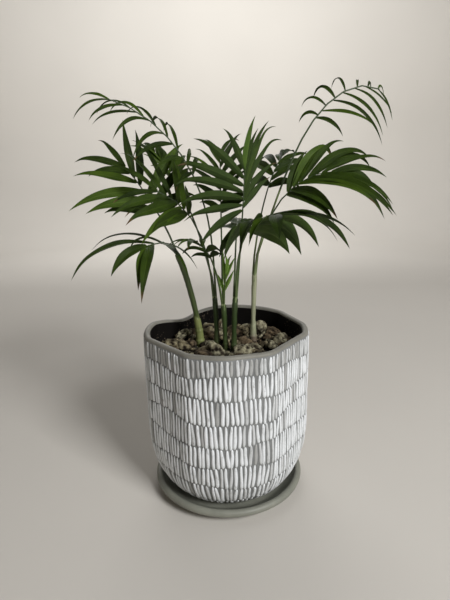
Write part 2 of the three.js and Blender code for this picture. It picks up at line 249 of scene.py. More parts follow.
class Paint:
    """A new material and its principled shader."""

    def __init__(self, name: str, **constants: float) -> None:
        """Starts a material.

        Args:
            name: The material's name.
            **constants: Values that the shader has all over the surface, by socket name,
                with underscores for spaces.
        """
        self.material = bpy.data.materials.new(name)
        self.material.use_nodes = True
        self.tree = self.material.node_tree
        self.tree.nodes.clear()
        output = self.tree.nodes.new("ShaderNodeOutputMaterial")
        self.shader = self.tree.nodes.new("ShaderNodeBsdfPrincipled")
        self.tree.links.new(self.shader.outputs[0], output.inputs[0])
        for key, value in constants.items():
            self.shader.inputs[key.replace("_", " ")].default_value = value

    def node(
        self, kind: str, settings: dict[str, object], sockets: Sockets, output: int | str = 0
    ) -> Wire:
        """Adds a node.

        Args:
            kind: The node's type.
            settings: Its own settings, which are set first.
            sockets: Values or wires for its input sockets, by name or number.
            output: The output socket that is handed back.

        Returns:
            The output as a wire.
        """
        made = self.tree.nodes.new(kind)
        for key, value in settings.items():
            setattr(made, key, value)
        for key, value in sockets.items():
            if isinstance(value, Wire):
                self.tree.links.new(value.socket, made.inputs[key])
            else:
                made.inputs[key].default_value = value
        return Wire(self, made.outputs[output])

    def place(self, stretch: tuple[float, float, float] = (1, 1, 1), turn: float = 0.0) -> Wire:
        """Object coordinates, stretched and turned about Z in degrees.

        Args:
            stretch: How many times closer the pattern lies along each axis.
            turn: The turn about Z in degrees.

        Returns:
            The coordinates as a wire.
        """
        own = self.node("ShaderNodeTexCoord", {}, {}, "Object")
        sockets = {"Vector": own, "Rotation": (0, 0, math.radians(turn)), "Scale": stretch}
        return self.node("ShaderNodeMapping", {}, sockets)

    def part_of_place(self, axis: str) -> Wire:
        """One object coordinate, X, Y or Z, in metres."""
        own = self.node("ShaderNodeTexCoord", {}, {}, "Object")
        return self.node("ShaderNodeSeparateXYZ", {}, {0: own}, axis)

    def along_piece(self, axis: str) -> Wire:
        """One coordinate, X or Y, of the piece's own UV map."""
        own = self.node("ShaderNodeUVMap", {}, {}, "UV")
        return self.node("ShaderNodeSeparateXYZ", {}, {0: own}, axis)

    def cloud(self, where: Wire, scale: float, detail: float = 3.0, rough: float = 0.5) -> Wire:
        """Noise about 0.5.

        Args:
            where: The coordinates.
            scale: Lumps to a metre.
            detail: Octaves.
            rough: How strong the finer octaves are.

        Returns:
            The noise as a wire.
        """
        sockets = {"Vector": where, "Scale": scale, "Detail": detail, "Roughness": rough}
        return self.node("ShaderNodeTexNoise", {}, sockets)

    def cells(self, where: Wire, scale: float) -> Wire:
        """The distance to the nearest of scattered points, of which so many fit in a metre."""
        return self.node("ShaderNodeTexVoronoi", {}, {"Vector": where, "Scale": scale})

    def blend(self, share: object, first: object, second: object) -> Wire:
        """A colour between two colours.

        Args:
            share: 0 for the first, 1 for the second.
            first: A colour or a wire.
            second: A colour or a wire.

        Returns:
            The colour as a wire.
        """
        ends = [end if isinstance(end, Wire) else (*end, 1.0) for end in (first, second)]
        return self.node("ShaderNodeMix", {"data_type": "RGBA"}, {0: share, 6: ends[0], 7: ends[1]}, 2)

    def relief(self, height: Wire, depth: float, under: Wire | None = None) -> Wire:
        """A bumped normal.

        Args:
            height: The relief, 0 to 1.
            depth: How deep it is, in millimetres.
            under: A coarser relief that this one lies on.

        Returns:
            The normal as a wire.
        """
        sockets = {"Height": height, "Distance": depth * MM, "Strength": 1.0}
        if under:
            sockets["Normal"] = under
        return self.node("ShaderNodeBump", {}, sockets)

    def shade(self, colour: Wire, roughness: Wire, normal: Wire) -> Material:
        """Joins the surface's colour, roughness and normal to the shader.

        Args:
            colour: The base colour.
            roughness: The roughness.
            normal: The normal.

        Returns:
            The finished material.
        """
        for key, wire in (("Base Color", colour), ("Roughness", roughness), ("Normal", normal)):
            self.tree.links.new(wire.socket, self.shader.inputs[key])
        return self.material


@dataclass(frozen=True)
class Stoneware:
    """Bare grey clay with fine grain, soft clouds and a few dark flecks."""

    name: str
    clay: Colour
    shade: Colour
    fleck: Colour = (0.1, 0.09, 0.08)
    roughness: float = 0.58
    grain: float = 0.05  # how deep the grain is, in millimetres
    dents: float = 0.12  # how deep the soft dents under it are
    flecks: float = 0.6  # how dark the flecks are, 0 to 1
    clouds_in_metre: float = 38
    grains_in_metre: float = 1500
    flecks_in_metre: float = 420
    dents_in_metre: float = 160

    def mixed(self) -> Material:
        """Mixes the material.

        Returns:
            The material.
        """
        paint = Paint(self.name, Specular_IOR_Level=0.42)
        where = paint.place()
        clouds = paint.cloud(where, self.clouds_in_metre, 4, 0.55)
        grain = paint.cloud(where, self.grains_in_metre, 3, 0.6)
        flecked = paint.cloud(where, 90, 1).step(0.5, 0.62)
        spots = paint.cells(where, self.flecks_in_metre).step(0.16, 0.08) * flecked
        colour = paint.blend(clouds.step(0.3, 0.7), self.clay, self.shade)
        colour = paint.blend(spots * self.flecks, colour, self.fleck)
        rough = self.roughness + 0.16 * (clouds - 0.5) + 0.1 * (grain - 0.5)
        soft = paint.relief(paint.cloud(where, self.dents_in_metre, 2), self.dents)
        return paint.shade(colour, rough, paint.relief(grain, self.grain, soft))


@dataclass(frozen=True)
class Slip:
    """White slip laid on with a tool: thicker on the ridge, thin and grey at its edges."""

    name: str
    white: Colour
    thin: Colour
    roughness: float = 0.36
    drag_marks: float = 0.06  # how deep the tool's marks are, in millimetres
    drawn_out: tuple[float, float, float] = (1, 1, 0.35)  # the marks run up and down
    marks_in_metre: float = 620
    patches_in_metre: float = 75
    specks_in_metre: float = 800

    def mixed(self) -> Material:
        """Mixes the material.

        Returns:
            The material.
        """
        paint = Paint(self.name, Specular_IOR_Level=0.5)
        where = paint.place(self.drawn_out)
        plain = paint.place()
        across = (paint.along_piece("X") - 0.5).size()
        drag = paint.cloud(where, self.marks_in_metre, 4, 0.65)
        patches = paint.cloud(plain, self.patches_in_metre, 3).step(0.4, 0.75)
        specked = paint.cloud(plain, 240, 2).step(0.5, 0.6)
        specks = paint.cells(plain, self.specks_in_metre).step(0.2, 0.1) * specked
        dragged = 1.1 * (drag - 0.5).step(0.02, 0.3)
        edge = across.step(0.28, 0.5) + 0.3 * patches + dragged + 0.6 * specks
        colour = paint.blend(edge, self.white, self.thin)
        rough = self.roughness + 0.3 * (drag - 0.5) + 0.12 * patches
        return paint.shade(colour, rough, paint.relief(drag, self.drag_marks))


@dataclass(frozen=True)
class DarkWall:
    """The pot's inside: nearly black, with pale crumbs of soil stuck on it."""

    name: str = "dark_inner_clay"
    wall: Colour = (0.004, 0.0033, 0.0028)
    dust: Colour = (0.15, 0.12, 0.085)
    crumb: float = 0.3  # how far the crumbs stand out, in millimetres
    patches_in_metre: float = 45
    crumbs_in_metre: float = 560

    def mixed(self) -> Material:
        """Mixes the material.

        Returns:
            The material.
        """
        paint = Paint(self.name, Specular_IOR_Level=0.12)
        where = paint.place()
        patches = paint.cloud(where, self.patches_in_metre, 4, 0.6).step(0.47, 0.58)
        crumbs = paint.cells(where, self.crumbs_in_metre).step(0.28, 0.16) * patches
        colour = paint.blend(crumbs, self.wall, self.dust)
        rough = 0.72 + 0.15 * patches
        return paint.shade(colour, rough, paint.relief(crumbs, self.crumb))


@dataclass(frozen=True)
class Pumice:
    """Rough porous stone with soil in its pores, and painted shade low on the bed and in its hollows."""

    name: str
    light: Colour
    dark: Colour
    # the soil's colour, in the pores and also as painted shade low on the stone and in its hollows
    soil: Colour = (0.016, 0.011, 0.007)
    pore: float = 0.4  # how deep the pores are, in millimetres
    grit: float = 0.25  # how far the grit stands out
    clouds_in_metre: float = 260
    pores_in_metre: float = 1100
    grit_in_metre: float = 2100

    def mixed(self) -> Material:
        """Mixes the material: painted shade in the soil's colour darkens what the piece's own map marks as
        low or sunken.

        Returns:
            The material.
        """
        paint = Paint(self.name, Specular_IOR_Level=0.15)
        where = paint.place()
        clouds = paint.cloud(where, self.clouds_in_metre, 4, 0.65)
        porous = paint.cloud(where, 330, 2).step(0.35, 0.55)
        pores = paint.cells(where, self.pores_in_metre).step(0.36, 0.1) * porous
        grit = paint.cloud(where, self.grit_in_metre, 3, 0.7)
        unshaded_share = paint.along_piece("Y") + 0.3 * (clouds - 0.5)
        colour = paint.blend(clouds.step(0.36, 0.64), self.light, self.dark)
        colour = paint.blend(0.75 * pores + 0.3 * grit.step(0.55, 0.75), colour, self.soil)
        # painted shade: points that the own map marks as low on the bed or sunken darken to the soil's colour
        colour = paint.blend(unshaded_share.step(0.74, 0.3), colour, self.soil)
        under = paint.relief(1 - pores, self.pore)
        return paint.shade(colour, 0.9 + 0.08 * grit, paint.relief(grit, self.grit, under))


@dataclass(frozen=True)
class Soil:
    """Damp dark potting soil."""

    name: str = "potting_soil"
    dark: Colour = (0.008, 0.006, 0.0045)
    light: Colour = (0.036, 0.026, 0.017)
    lump: float = 0.8  # how far the lumps stand out, in millimetres
    lumps_in_metre: float = 420

    def mixed(self) -> Material:
        """Mixes the material.

        Returns:
            The material.
        """
        paint = Paint(self.name, Specular_IOR_Level=0.3)
        lumps = paint.cloud(paint.place(), self.lumps_in_metre, 5, 0.7)
        colour = paint.blend(lumps.step(0.4, 0.75), self.dark, self.light)
        return paint.shade(colour, 0.75 + 0.3 * (lumps - 0.5), paint.relief(lumps, self.lump))


@dataclass(frozen=True)
class Leaf:
    """One side of a leaflet: fine veins along it, a paler stripe on its rib and soft mottling."""

    name: str
    green: Colour
    deep: Colour
    rib: Colour
    roughness: float = 0.4
    veins: float = 0.05  # how deep the veins are, in millimetres
    vein_turns: float = 190  # 30 fine veins across the blade, in radians
    pleat_turns: float = 44  # 7 soft pleats across the blade
    mottles_in_metre: float = 120
    rib_width: tuple[float, float] = (0.045, 0.012)  # shares of the blade's width: its border, its crest

    def mixed(self) -> Material:
        """Mixes the material.

        Returns:
            The material.
        """
        paint = Paint(self.name, Specular_IOR_Level=0.14)
        across = paint.along_piece("X")
        middle = (across - 0.5).size()
        mottle = paint.cloud(paint.place(), self.mottles_in_metre, 3, 0.55)
        lines = (across * self.vein_turns).sine() * 0.5 + 0.5
        pleats = (across * self.pleat_turns).sine() * 0.5 + 0.5
        colour = paint.blend(mottle.step(0.3, 0.72), self.green, self.deep)
        colour = paint.blend(0.12 * lines + 0.1 * pleats, colour, self.deep)
        colour = paint.blend(middle.step(*self.rib_width) * 0.7, colour, self.rib)
        colour = self.turned(paint, colour, mottle)
        rough = self.roughness + 0.18 * (mottle - 0.5) + 0.05 * lines
        under = paint.relief(pleats * 0.8 + 0.2 * mottle, self.veins * 2)
        return paint.shade(colour, rough, paint.relief(lines, self.veins, under))

    def turned(self, paint: Paint, colour: Wire, mottle: Wire) -> Wire:
        """The colour as it is: only a dry tip's turns on the way to its end."""
        return colour


@dataclass(frozen=True)
class DryTip(Leaf):
    """The end of a leaflet that has dried: green where it begins, then brown."""

    fresh: Colour = (0.03, 0.055, 0.009)
    turning: tuple[float, float] = (0.845, 0.925)  # where along the leaflet it turns

    def turned(self, paint: Paint, colour: Wire, mottle: Wire) -> Wire:
        """Turns from green to the dry colour along the leaflet, with a ragged border."""
        along = paint.along_piece("Y") + 0.05 * (mottle - 0.5)
        return paint.blend(along.step(*self.turning), self.fresh, colour)


@dataclass(frozen=True)
class Stalk:
    """Cane, petiole or rib: smooth green that is paler and browner low down."""

    name: str
    low: Colour
    high: Colour
    turning: tuple[float, float]  # the heights between which it turns, in millimetres
    roughness: float = 0.42
    streak: float = 0.08  # how deep the streaks are, in millimetres
    drawn_out: tuple[float, float, float] = (1, 1, 0.08)  # the streaks run up and down
    streaks_in_metre: float = 900
    blotches_in_metre: float = 150
    ragged: float = 12.0  # how far the blotches move the turn up and down
    streaked: float = 0.55  # how much of the upper colour a streak keeps

    def mixed(self) -> Material:
        """Mixes the material.

        Returns:
            The material.
        """
        paint = Paint(self.name, Specular_IOR_Level=0.45)
        streaks = paint.cloud(paint.place(self.drawn_out), self.streaks_in_metre, 3, 0.6)
        blotches = paint.cloud(paint.place(), self.blotches_in_metre, 3, 0.6)
        height = paint.part_of_place("Z") + self.ragged * MM * (blotches - 0.5)
        share = height.step(self.turning[0] * MM, self.turning[1] * MM)
        colour = paint.blend(share, self.low, self.high)
        darker = tuple(self.streaked * value for value in self.high)
        marks = 0.5 * streaks.step(0.45, 0.8) + 0.2 * blotches.step(0.5, 0.7)
        colour = paint.blend(marks, colour, darker)
        rough = self.roughness + 0.2 * (blotches - 0.5)
        return paint.shade(colour, rough, paint.relief(streaks, self.streak))


@dataclass(frozen=True)
class Plaster:
    """The studio's pale floor and its turned-up edge."""

    name: str = "pale_floor"
    tone: Colour = (0.6, 0.572, 0.528)

    def mixed(self) -> Material:
        """Mixes the material.

        Returns:
            The material.
        """
        paint = Paint(self.name, Specular_IOR_Level=0.2)
        clouds = paint.cloud(paint.place(), 3, 2)
        darker = tuple(0.97 * value for value in self.tone)
        fine = paint.cloud(paint.place(), 300, 2)
        colour = paint.blend(clouds.step(0.3, 0.7), self.tone, darker)
        return paint.shade(colour, 0.85 + 0.1 * (clouds - 0.5), paint.relief(fine, 0.02))


# ------------------------------ making pieces


def deselect() -> None:
    """Leaves edit mode and selects nothing."""
    if bpy.context.object and bpy.context.object.mode != "OBJECT":
        bpy.ops.object.mode_set(mode="OBJECT")
    bpy.ops.object.select_all(action="DESELECT")


def throw(name: str, profile: Sequence[tuple[float, float]], segments: int) -> Object:
    """Raises a closed round form from a disc, ring by ring, as on a wheel.

    Args:
        name: The new object's name.
        profile: The radius and height of each ring, in millimetres, from the foot to the end.
        segments: How many sides the form has.

    Returns:
        The object, at the origin and in object mode.
    """
    deselect()
    radius, height = profile[0]
    bpy.ops.mesh.primitive_circle_add(
        vertices=segments, radius=radius * MM, fill_type="NGON", location=(0, 0, height * MM)
    )
    piece = bpy.context.object
    piece.name = name
    bpy.ops.object.mode_set(mode="EDIT")
    bpy.ops.mesh.select_mode(type="FACE")
    bpy.ops.mesh.select_all(action="SELECT")
    for (r0, z0), (r1, z1) in pairwise(profile):
        bpy.ops.mesh.extrude_region_move(TRANSFORM_OT_translate={"value": (0, 0, (z1 - z0) * MM)})
        bpy.ops.transform.resize(value=(r1 / r0, r1 / r0, 1), center_override=(0, 0, 0))
    bpy.ops.object.mode_set(mode="OBJECT")
    bpy.ops.object.transform_apply(location=True, rotation=True, scale=True)
    return piece


def press(piece: Object, shape: Callable[[Vector], Vector]) -> None:
    """Moves each of a piece's points, given in millimetres, by a rule.

    Args:
        piece: The object whose mesh is pressed.
        shape: Gives the new place of a point.
    """
    for vertex in piece.data.vertices:
        vertex.co = shape(vertex.co / MM) * MM
    piece.data.update()


def polish(piece: Object, angle: float) -> None:
    """Shades a piece smooth.

    Args:
        piece: The object.
        angle: The angle in degrees between two faces past which their edge stays sharp.
    """
    deselect()
    piece.select_set(True)
    bpy.context.view_layer.objects.active = piece
    bpy.ops.object.shade_smooth_by_angle(angle=math.radians(angle))
    piece.select_set(False)


def hand_over(piece: Object, nodes: Iterable[str]) -> Object:
    """Makes a finished piece ride on the body and what it stands for.

    Args:
        piece: The finished object.
        nodes: The names of the frame's nodes that the piece replaces.

    Returns:
        The piece.
    """
    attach(piece, BODY)
    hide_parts(*nodes)
    log.info("%s: %d faces", piece.name, len(piece.data.polygons))
    return piece


class Skin:
    """Many small lofts that are joined into one mesh."""

    def __init__(self) -> None:
        """Starts with no points."""
        self.points: list[Vector] = []
        self.faces: list[tuple[int, ...]] = []
        self.slots: list[int] = []
        self.corners: list[tuple[float, float]] = []

    def _face(self, marks: Sequence[tuple[int, float, float]], slot: int) -> None:
        """Adds one face.

        Args:
            marks: The number of each of its points, with the point's place on the piece's own map.
            slot: The number of its material.
        """
        self.faces.append(tuple(mark[0] for mark in marks))
        self.corners.extend((mark[1], mark[2]) for mark in marks)
        self.slots.append(slot)

    def loft(
        self,
        rings: Sequence[Sequence[Vector]],
        across: Sequence[float],
        slot: Callable[[int, int], int],
    ) -> None:
        """Adds a closed skin over rings of points that turn clockwise seen from the foot.

        Args:
            rings: The rings from foot to tip; one of a single point is a tip.
            across: Where each point of a ring lies on the piece's own map, 0 to 1.
            slot: The material of a face, from the number of its ring and its side.
        """
        starts = []
        for ring in rings:
            starts.append(len(self.points))
            self.points.extend(ring)
        count = len(across)
        for row, (low, high) in enumerate(pairwise(starts)):
            v0, v1 = row / (len(rings) - 1), (row + 1) / (len(rings) - 1)
            one_below, one_above = len(rings[row]) == 1, len(rings[row + 1]) == 1
            for k in range(count):
                n = (k + 1) % count
                u0, u1 = across[k], across[n]
                below = [(low, 0.5, v0)] if one_below else [(low + k, u0, v0), (low + n, u1, v0)]
                above = [(high, 0.5, v1)] if one_above else [(high + n, u1, v1), (high + k, u0, v1)]
                self._face(below + above, slot(row, k))
        ends = ((rings[0], starts[0], -1, 0.0), (rings[-1], starts[-1], 1, 1.0))
        for ring, first, order, v in ends:
            if len(ring) > 1:
                marks = [(first + k, across[k], v) for k in range(count)][::order]
                self._face(marks, slot(0 if order < 0 else len(rings) - 2, 0))

    def solid(self, points: np.ndarray, triangles: np.ndarray, marks: np.ndarray) -> None:
        """Adds a ready closed body.

        Args:
            points: Its points, one to a row.
            triangles: The numbers of each triangle's points.
            marks: A value from 0 to 1 for each point, which goes into the piece's own map.
        """
        first = len(self.points)
        self.points.extend(Vector(point) for point in points)
        for triangle in triangles:
            self._face([(first + int(k), 0.5, float(marks[k])) for k in triangle], 0)

    def made(self, name: str, materials: Sequence[Material]) -> Object:
        """Makes the object.

        Args:
            name: The object's name.
            materials: Its materials, by the numbers that the faces hold.

        Returns:
            The object.
        """
        mesh = bpy.data.meshes.new(name)
        mesh.from_pydata([point * MM for point in self.points], [], self.faces)
        for material in materials:
            mesh.materials.append(material)
        mesh.polygons.foreach_set("material_index", self.slots)
        own_map = mesh.uv_layers.new(name="own_map")
        own_map.uv.foreach_set("vector", np.array(self.corners, np.float32).ravel())
        mesh.update()
        piece = bpy.data.objects.new(name, mesh)
        bpy.context.scene.collection.objects.link(piece)
        return piece


# ------------------------------ pot, strokes and saucer


@dataclass(frozen=True)
class Flat:
    """A flat pressed into the soft clay: where it faces and how deep its middle lies."""

    facing: float
    depth: float

    def cut(self, angle: float, radius: float, edge: float) -> float:
        """How far it cuts into a round plan: a chord with soft edges.

        Args:
            angle: Where round the plan, in degrees.
            radius: The plan's radius.
            edge: How soft the chord's ends are.

        Returns:
            The depth in millimetres, nearly 0 off the flat.
        """
        away = math.radians((angle - self.facing + 180) % 360 - 180)
        chord = radius - (radius - self.depth) / max(0.5, math.cos(away))
        return 0.5 * (chord + math.hypot(chord, edge))


@dataclass(frozen=True)
class Dip:
    """A stretch of rim that sinks: where it faces, how deep and how wide it is."""

    facing: float
    depth: float
    width: float


@dataclass(frozen=True)
class PotForm:
    """The pot's form, as in the part's source: its plan with pressed flats and its rounded belly."""

    bottom: float = 5.3  # the height of its foot above the table
    rim: float = 126.0
    radius: float = 60.0
    foot_radius: float = 33.0
    wall: float = 4.6
    floor: float = 7.0
    round_height: float = 56.0  # how far up the belly still widens
    fullness: float = 2.6  # how full the belly's curve is: 2 is an ellipse
    inner_foot: float = 14.0
    flats: tuple[Flat, ...] = (
        Flat(140, 5.5),
        Flat(22, 2.6),
        Flat(-38, 4.2),
        Flat(-137, 4.0),
        Flat(-77, 1.0),
    )
    flat_edge: float = 0.5
    dip: Dip = Dip(130, 5.9, 22)
    inset: float = 0.35  # bare clay lies this far inside the frame's wall, under the strokes
    unevenness: tuple[float, float] = (0.22, 0.1)  # how far broad and narrow dents reach
    dents: tuple[float, float] = (0.045, 0.16)  # how close they lie: dents to a millimetre

    def belly(self, height: float) -> float:
        """The outer radius before the flats are pressed.

        Args:
            height: The height above the foot.

        Returns:
            The radius.
        """
        if height >= self.round_height:
            return self.radius
        share = 1 - max(0.0, height) / self.round_height
        return mix(self.foot_radius, self.radius, math.sqrt(1 - share**self.fullness))

    def pressed_in(self, angle: float, height: float) -> float:
        """How far the flats press the wall in at an angle in degrees and a height above the foot."""
        depth = sum(flat.cut(angle, self.radius, self.flat_edge) for flat in self.flats)
        return depth * smooth(height + self.bottom, self.bottom, self.bottom + self.round_height)

    def dipped(self, angle: float, height: float) -> float:
        """How far the wall's top sinks at an angle and a height above the foot."""
        rise = min(1.0, max(0.0, height / (self.rim - self.bottom)))
        return self.dip.depth * bell(angle, self.dip.facing, self.dip.width) * rise**3

    def shaped(self, point: Vector) -> Vector:
        """Presses a point of the round form into the pot's real plan.

        Args:
            point: The point on the round form.

        Returns:
            Its new place.
        """
        away = math.hypot(point.x, point.y)
        if away < 1e-6:
            return point
        angle = math.degrees(math.atan2(point.y, point.x))
        height = point.z - self.bottom
        share = min(1.0, away / max(1.0, self.belly(height) - self.wall))
        pressed = away - self.pressed_in(angle, height) * share
        dents = zip(self.unevenness, self.dents)
        ground = sum(reach * noise.noise(point * close) for reach, close in dents)
        kept = (pressed + ground * share) / away
        return Vector((point.x * kept, point.y * kept, point.z - self.dipped(angle, height)))

    def inner_radius(self, angle: float, z: float) -> float:
        """The radius of the inner wall at an angle in degrees and a height."""
        height = z - self.bottom
        return self.belly(height) - self.wall - self.pressed_in(angle, height)


@dataclass
class Pot:
    """The thrown pot: grey clay outside, dark inside, with a plain rounded rim."""

    form: PotForm = PotForm()
    segments: int = 160
    rings: int = 46
    rim_round: float = 2.1
    rim_rings: int = 15
    close_low: float = 1.5  # the outer rings lie closer together lower down
    centre: float = 2.0  # the radius of the small disc that the throwing starts and ends with
    cove: tuple[tuple[float, float], ...] = ((3, 3.2), (7, 1), (12, 0))  # in from the wall, up
    foot_strip: float = 3.0  # the foot stays bare up to this height
    dark_below: float = 2.4  # the inner wall is dark this far below the rim
    washed_below: float = 3.2  # the outer wall has a thin wash of slip this far below the rim
    clay: Stoneware = Stoneware("grey_clay", (0.212, 0.205, 0.176), (0.165, 0.16, 0.138))
    dark_inside: DarkWall = DarkWall()
    wash: Stoneware = Stoneware("washed_clay", (0.215, 0.222, 0.222), (0.16, 0.166, 0.166))

    def profile(self) -> list[tuple[float, float]]:
        """The rings from the foot up the outside, over the rim and down the inside.

        Returns:
            The radius and height of each ring.
        """
        form = self.form
        low, top = form.bottom, form.rim
        depth = top - low - self.rim_round
        outer = []
        for index in range(self.rings):
            height = depth * (index / (self.rings - 1)) ** self.close_low
            outer.append((form.belly(height) - form.inset, low + height))
        half = (form.wall - form.inset) / 2
        crown = []
        for index in range(1, self.rim_rings + 1):
            turn = math.radians(180 * index / self.rim_rings)
            out, up = half * math.cos(turn), self.rim_round * math.sin(turn)
            crown.append((form.radius - form.inset - half + out, top - self.rim_round + up))
        inner = []
        for index in range(1, self.rings):
            height = mix(depth, form.inner_foot, index / (self.rings - 1))
            inner.append((form.belly(height) - form.wall, low + height))
        floor = low + form.floor
        base = inner[-1][0]
        cove = [(base - inwards, floor + up) for inwards, up in self.cove]
        floor_rings = [(base * 0.4, floor), (self.centre, floor)]
        foot_rings = [(self.centre, low), (form.foot_radius * 0.6, low)]
        return [*foot_rings, *outer, *crown, *inner, *cove, *floor_rings]

    def finish(self, centre: Vector) -> Stoneware | DarkWall:
        """The finish of one face.

        Args:
            centre: The face's middle on the round form.

        Returns:
            Bare clay, the dark inside or the thin wash of slip.
        """
        height = centre.z - self.form.bottom
        below_rim = self.form.rim - centre.z
        if height <= self.foot_strip:
            return self.clay
        if math.hypot(centre.x, centre.y) < self.form.belly(height) - 0.5 * self.form.wall:
            return self.dark_inside if below_rim > self.dark_below else self.clay
        return self.wash if below_rim > self.washed_below else self.clay

    def build(self) -> Object:
        """Throws the pot, presses its flats and paints it.

        Returns:
            The finished piece.
        """
        piece = throw("pot_body", self.profile(), self.segments)
        finishes = (self.clay, self.dark_inside, self.wash)
        for finish in finishes:
            piece.data.materials.append(finish.mixed())
        for face in piece.data.polygons:
            face.material_index = finishes.index(self.finish(face.center / MM))
        press(piece, self.form.shaped)
        polish(piece, 50)
        return hand_over(piece, ["pot"])


class Coat(Enum):
    """How thick the slip of a stroke is."""

    FULL = 0
    WORN = 1
    FAINT = 2


@dataclass
class Strokes:
    """Rows of raised upright strokes of white slip, laid on by hand round the pot."""

    form: PotForm = PotForm()
    rows: int = 8
    pitch: float = 3.15  # from one stroke to the next
    first_row: float = 11.5  # how long the strokes of the first row are
    row_height: float = 16.4  # from the second row on
    under_rim: float = 2.8  # how far below the rim the first row starts
    width: float = 2.7
    width_varied: float = 0.12
    thin_width: float = 0.85  # the share of the width that no slip at all would leave
    blunt: tuple[tuple[float, float], ...] = ((8.0, 3.0), (12.0, 4.0))  # top and foot, and how varied
    proud: float = 0.85  # how far a full stroke stands out of the wall
    sunk: float = 0.5  # how far its sole lies in the wall
    strays: float = 0.16  # how far a stroke strays round the pot, in pitches
    waves: tuple[tuple[float, ...], ...] = (  # of a row's edge: height, rounds, shift by row, start
        (1.2, 3, 1.9, 0),
        (0.9, 7, 2.7, 1),
    )
    ragged: float = 0.45  # how far its ends stray from the row's
    ragged_top: float = 0.5  # how much further the first row's tops stray
    shortest: float = 6.0
    slant: float = 0.5  # how far its ends lean aside
    leaning_from: int = 6  # the first row whose strokes lean more
    sway: float = 0.16  # how far it wavers from side to side
    thickness: tuple[float, float, float] = (1.0, 0.8, 0.55)  # of a full, worn and faint coat
    wear: tuple[float, float] = (0.03, 0.2)  # the shares of strokes below which they are faint, worn
    first_row_wear: tuple[float, float] = (0.45, 0.9)
    worn_too: float = 0.97  # strokes whose second draw is higher are worn too
    seed: float = 4.0
    steps: int = 11
    measures: int = 500  # how finely the wall is measured
    across: tuple[float, ...] = (1.0, 0.7, 0.0, -0.7, -1.0)
    coats: tuple[Slip, ...] = (
        Slip("white_slip", (0.76, 0.785, 0.81), (0.42, 0.435, 0.435)),
        Slip("worn_slip", (0.57, 0.585, 0.595), (0.32, 0.33, 0.325), 0.44),
        Slip("faint_slip", (0.375, 0.38, 0.375), (0.25, 0.253, 0.243), 0.5),
    )

    def __post_init__(self) -> None:
        """Measures the pot's outer profile along its wall, from the rim down."""
        form = self.form
        heights = np.linspace(form.rim - form.bottom, 0.0, self.measures)
        radii = np.array([form.belly(height) for height in heights])
        steps = np.hypot(np.diff(heights), np.diff(radii))
        self.fall = np.concatenate([[0.0], np.cumsum(steps)])
        self.heights = heights
        self.radii = radii

    def wall_point(self, angle: float, down: float, proud: float) -> Vector:
        """A point on or off the pot's outer wall.

        Args:
            angle: Its angle in degrees.
            down: How far it lies below the rim, measured along the wall.
            proud: How far it stands out of the wall.

        Returns:
            The point.
        """
        height = float(np.interp(down, self.fall, self.heights))
        radius = float(np.interp(down, self.fall, self.radii))
        slope = float(np.interp(down + 1, self.fall, self.radii)) - radius
        steep = math.sqrt(max(0.0, 1 - slope * slope))
        out = radius - self.form.inset + proud * steep
        up = self.form.bottom + height + proud * slope
        turned = Matrix.Rotation(math.radians(angle), 3, "Z") @ Vector((out, 0, up))
        return self.form.shaped(turned)

    def boundary(self, row: int, angle: float) -> float:
        """How far below the rim a row starts: all but the first wander.

        Args:
            row: The row, 0 under the rim.
            angle: Where round the pot, in degrees.

        Returns:
            The distance along the wall.
        """
        if row == 0:
            return self.under_rim
        turn = math.radians(angle)
        wave = 0.0
        for height, rounds, shift, start in self.waves:
            wave += height * math.sin(rounds * turn + shift * row + start)
        return self.under_rim + (self.first_row + (row - 1) * self.row_height + wave)

    def stroke(self, skin: Skin, row: int, index: int, count: int) -> None:
        """Lays one stroke.

        Args:
            skin: The mesh it goes into.
            row: Its row, 0 under the rim.
            index: Its number in the row.
            count: How many strokes the row has.
        """
        draw = [scatter(self.seed + row, index * 13 + k) for k in range(10)]
        angle = 360 * (index + 0.5 * (row % 2) + self.strays * draw[0]) / count
        top = self.boundary(row, angle) + self.ragged * draw[1]
        if row == 0:
            top += self.ragged_top * draw[8]
        end = self.boundary(row + 1, angle) + self.ragged * draw[2]
        if top + self.shortest > end:
            return
        coat = self.coat(row, draw[3], draw[4])
        weight = self.thickness[coat.value]
        half = 0.5 * self.width * (1 + self.width_varied * draw[5]) * mix(self.thin_width, 1, weight)
        slant = self.slant * draw[6] + self.slant * draw[7] * (row >= self.leaning_from)
        blunt = [mean + varied * drawn for (mean, varied), drawn in zip(self.blunt, draw[8:])]
        rings = []
        for step in range(self.steps):
            share = 0.5 - 0.5 * math.cos(math.pi * step / (self.steps - 1))
            signed = 2 * share - 1
            taper = (1 - 0.995 * abs(signed) ** blunt[int(signed > 0)]) ** 0.5
            swell = mix(0.84, 1.02, smooth(share, 0, 0.6)) + 0.07 * math.sin(7 * share + 3 * draw[6])
            down = mix(top, end, share)
            lean = slant * signed + self.sway * math.sin(6 * share + 4 * draw[0])
            radius = float(np.interp(down, self.fall, self.radii))
            ring = []
            for u in self.across:
                aside = lean + u * half * taper * swell
                rise = self.proud * weight * (1 - abs(u) ** 3) ** 0.6 * taper**0.7 - 0.05 * abs(u)
                ring.append(self.wall_point(angle + math.degrees(aside / radius), down, rise))
            for u in (self.across[-1], self.across[0]):
                aside = lean + u * half * taper * swell * 0.9
                ring.append(self.wall_point(angle + math.degrees(aside / radius), down, -self.sunk))
            rings.append(ring)
        where = [0.5 - 0.5 * u for u in self.across] + [1.0, 0.0]
        skin.loft(rings, where, lambda ring, side: coat.value)

    def coat(self, row: int, draw: float, second: float) -> Coat:
        """Deals out how thick a stroke's slip is: the row under the rim is often faint.

        Args:
            row: The row, 0 under the rim.
            draw: The stroke's draw, from -1 to 1.
            second: Another, which wears a few more strokes.

        Returns:
            The coat.
        """
        faint, worn = self.first_row_wear if row == 0 else self.wear
        chance = (draw + 1) / 2
        if chance < faint:
            return Coat.FAINT
        return Coat.WORN if chance < worn or second > self.worn_too else Coat.FULL

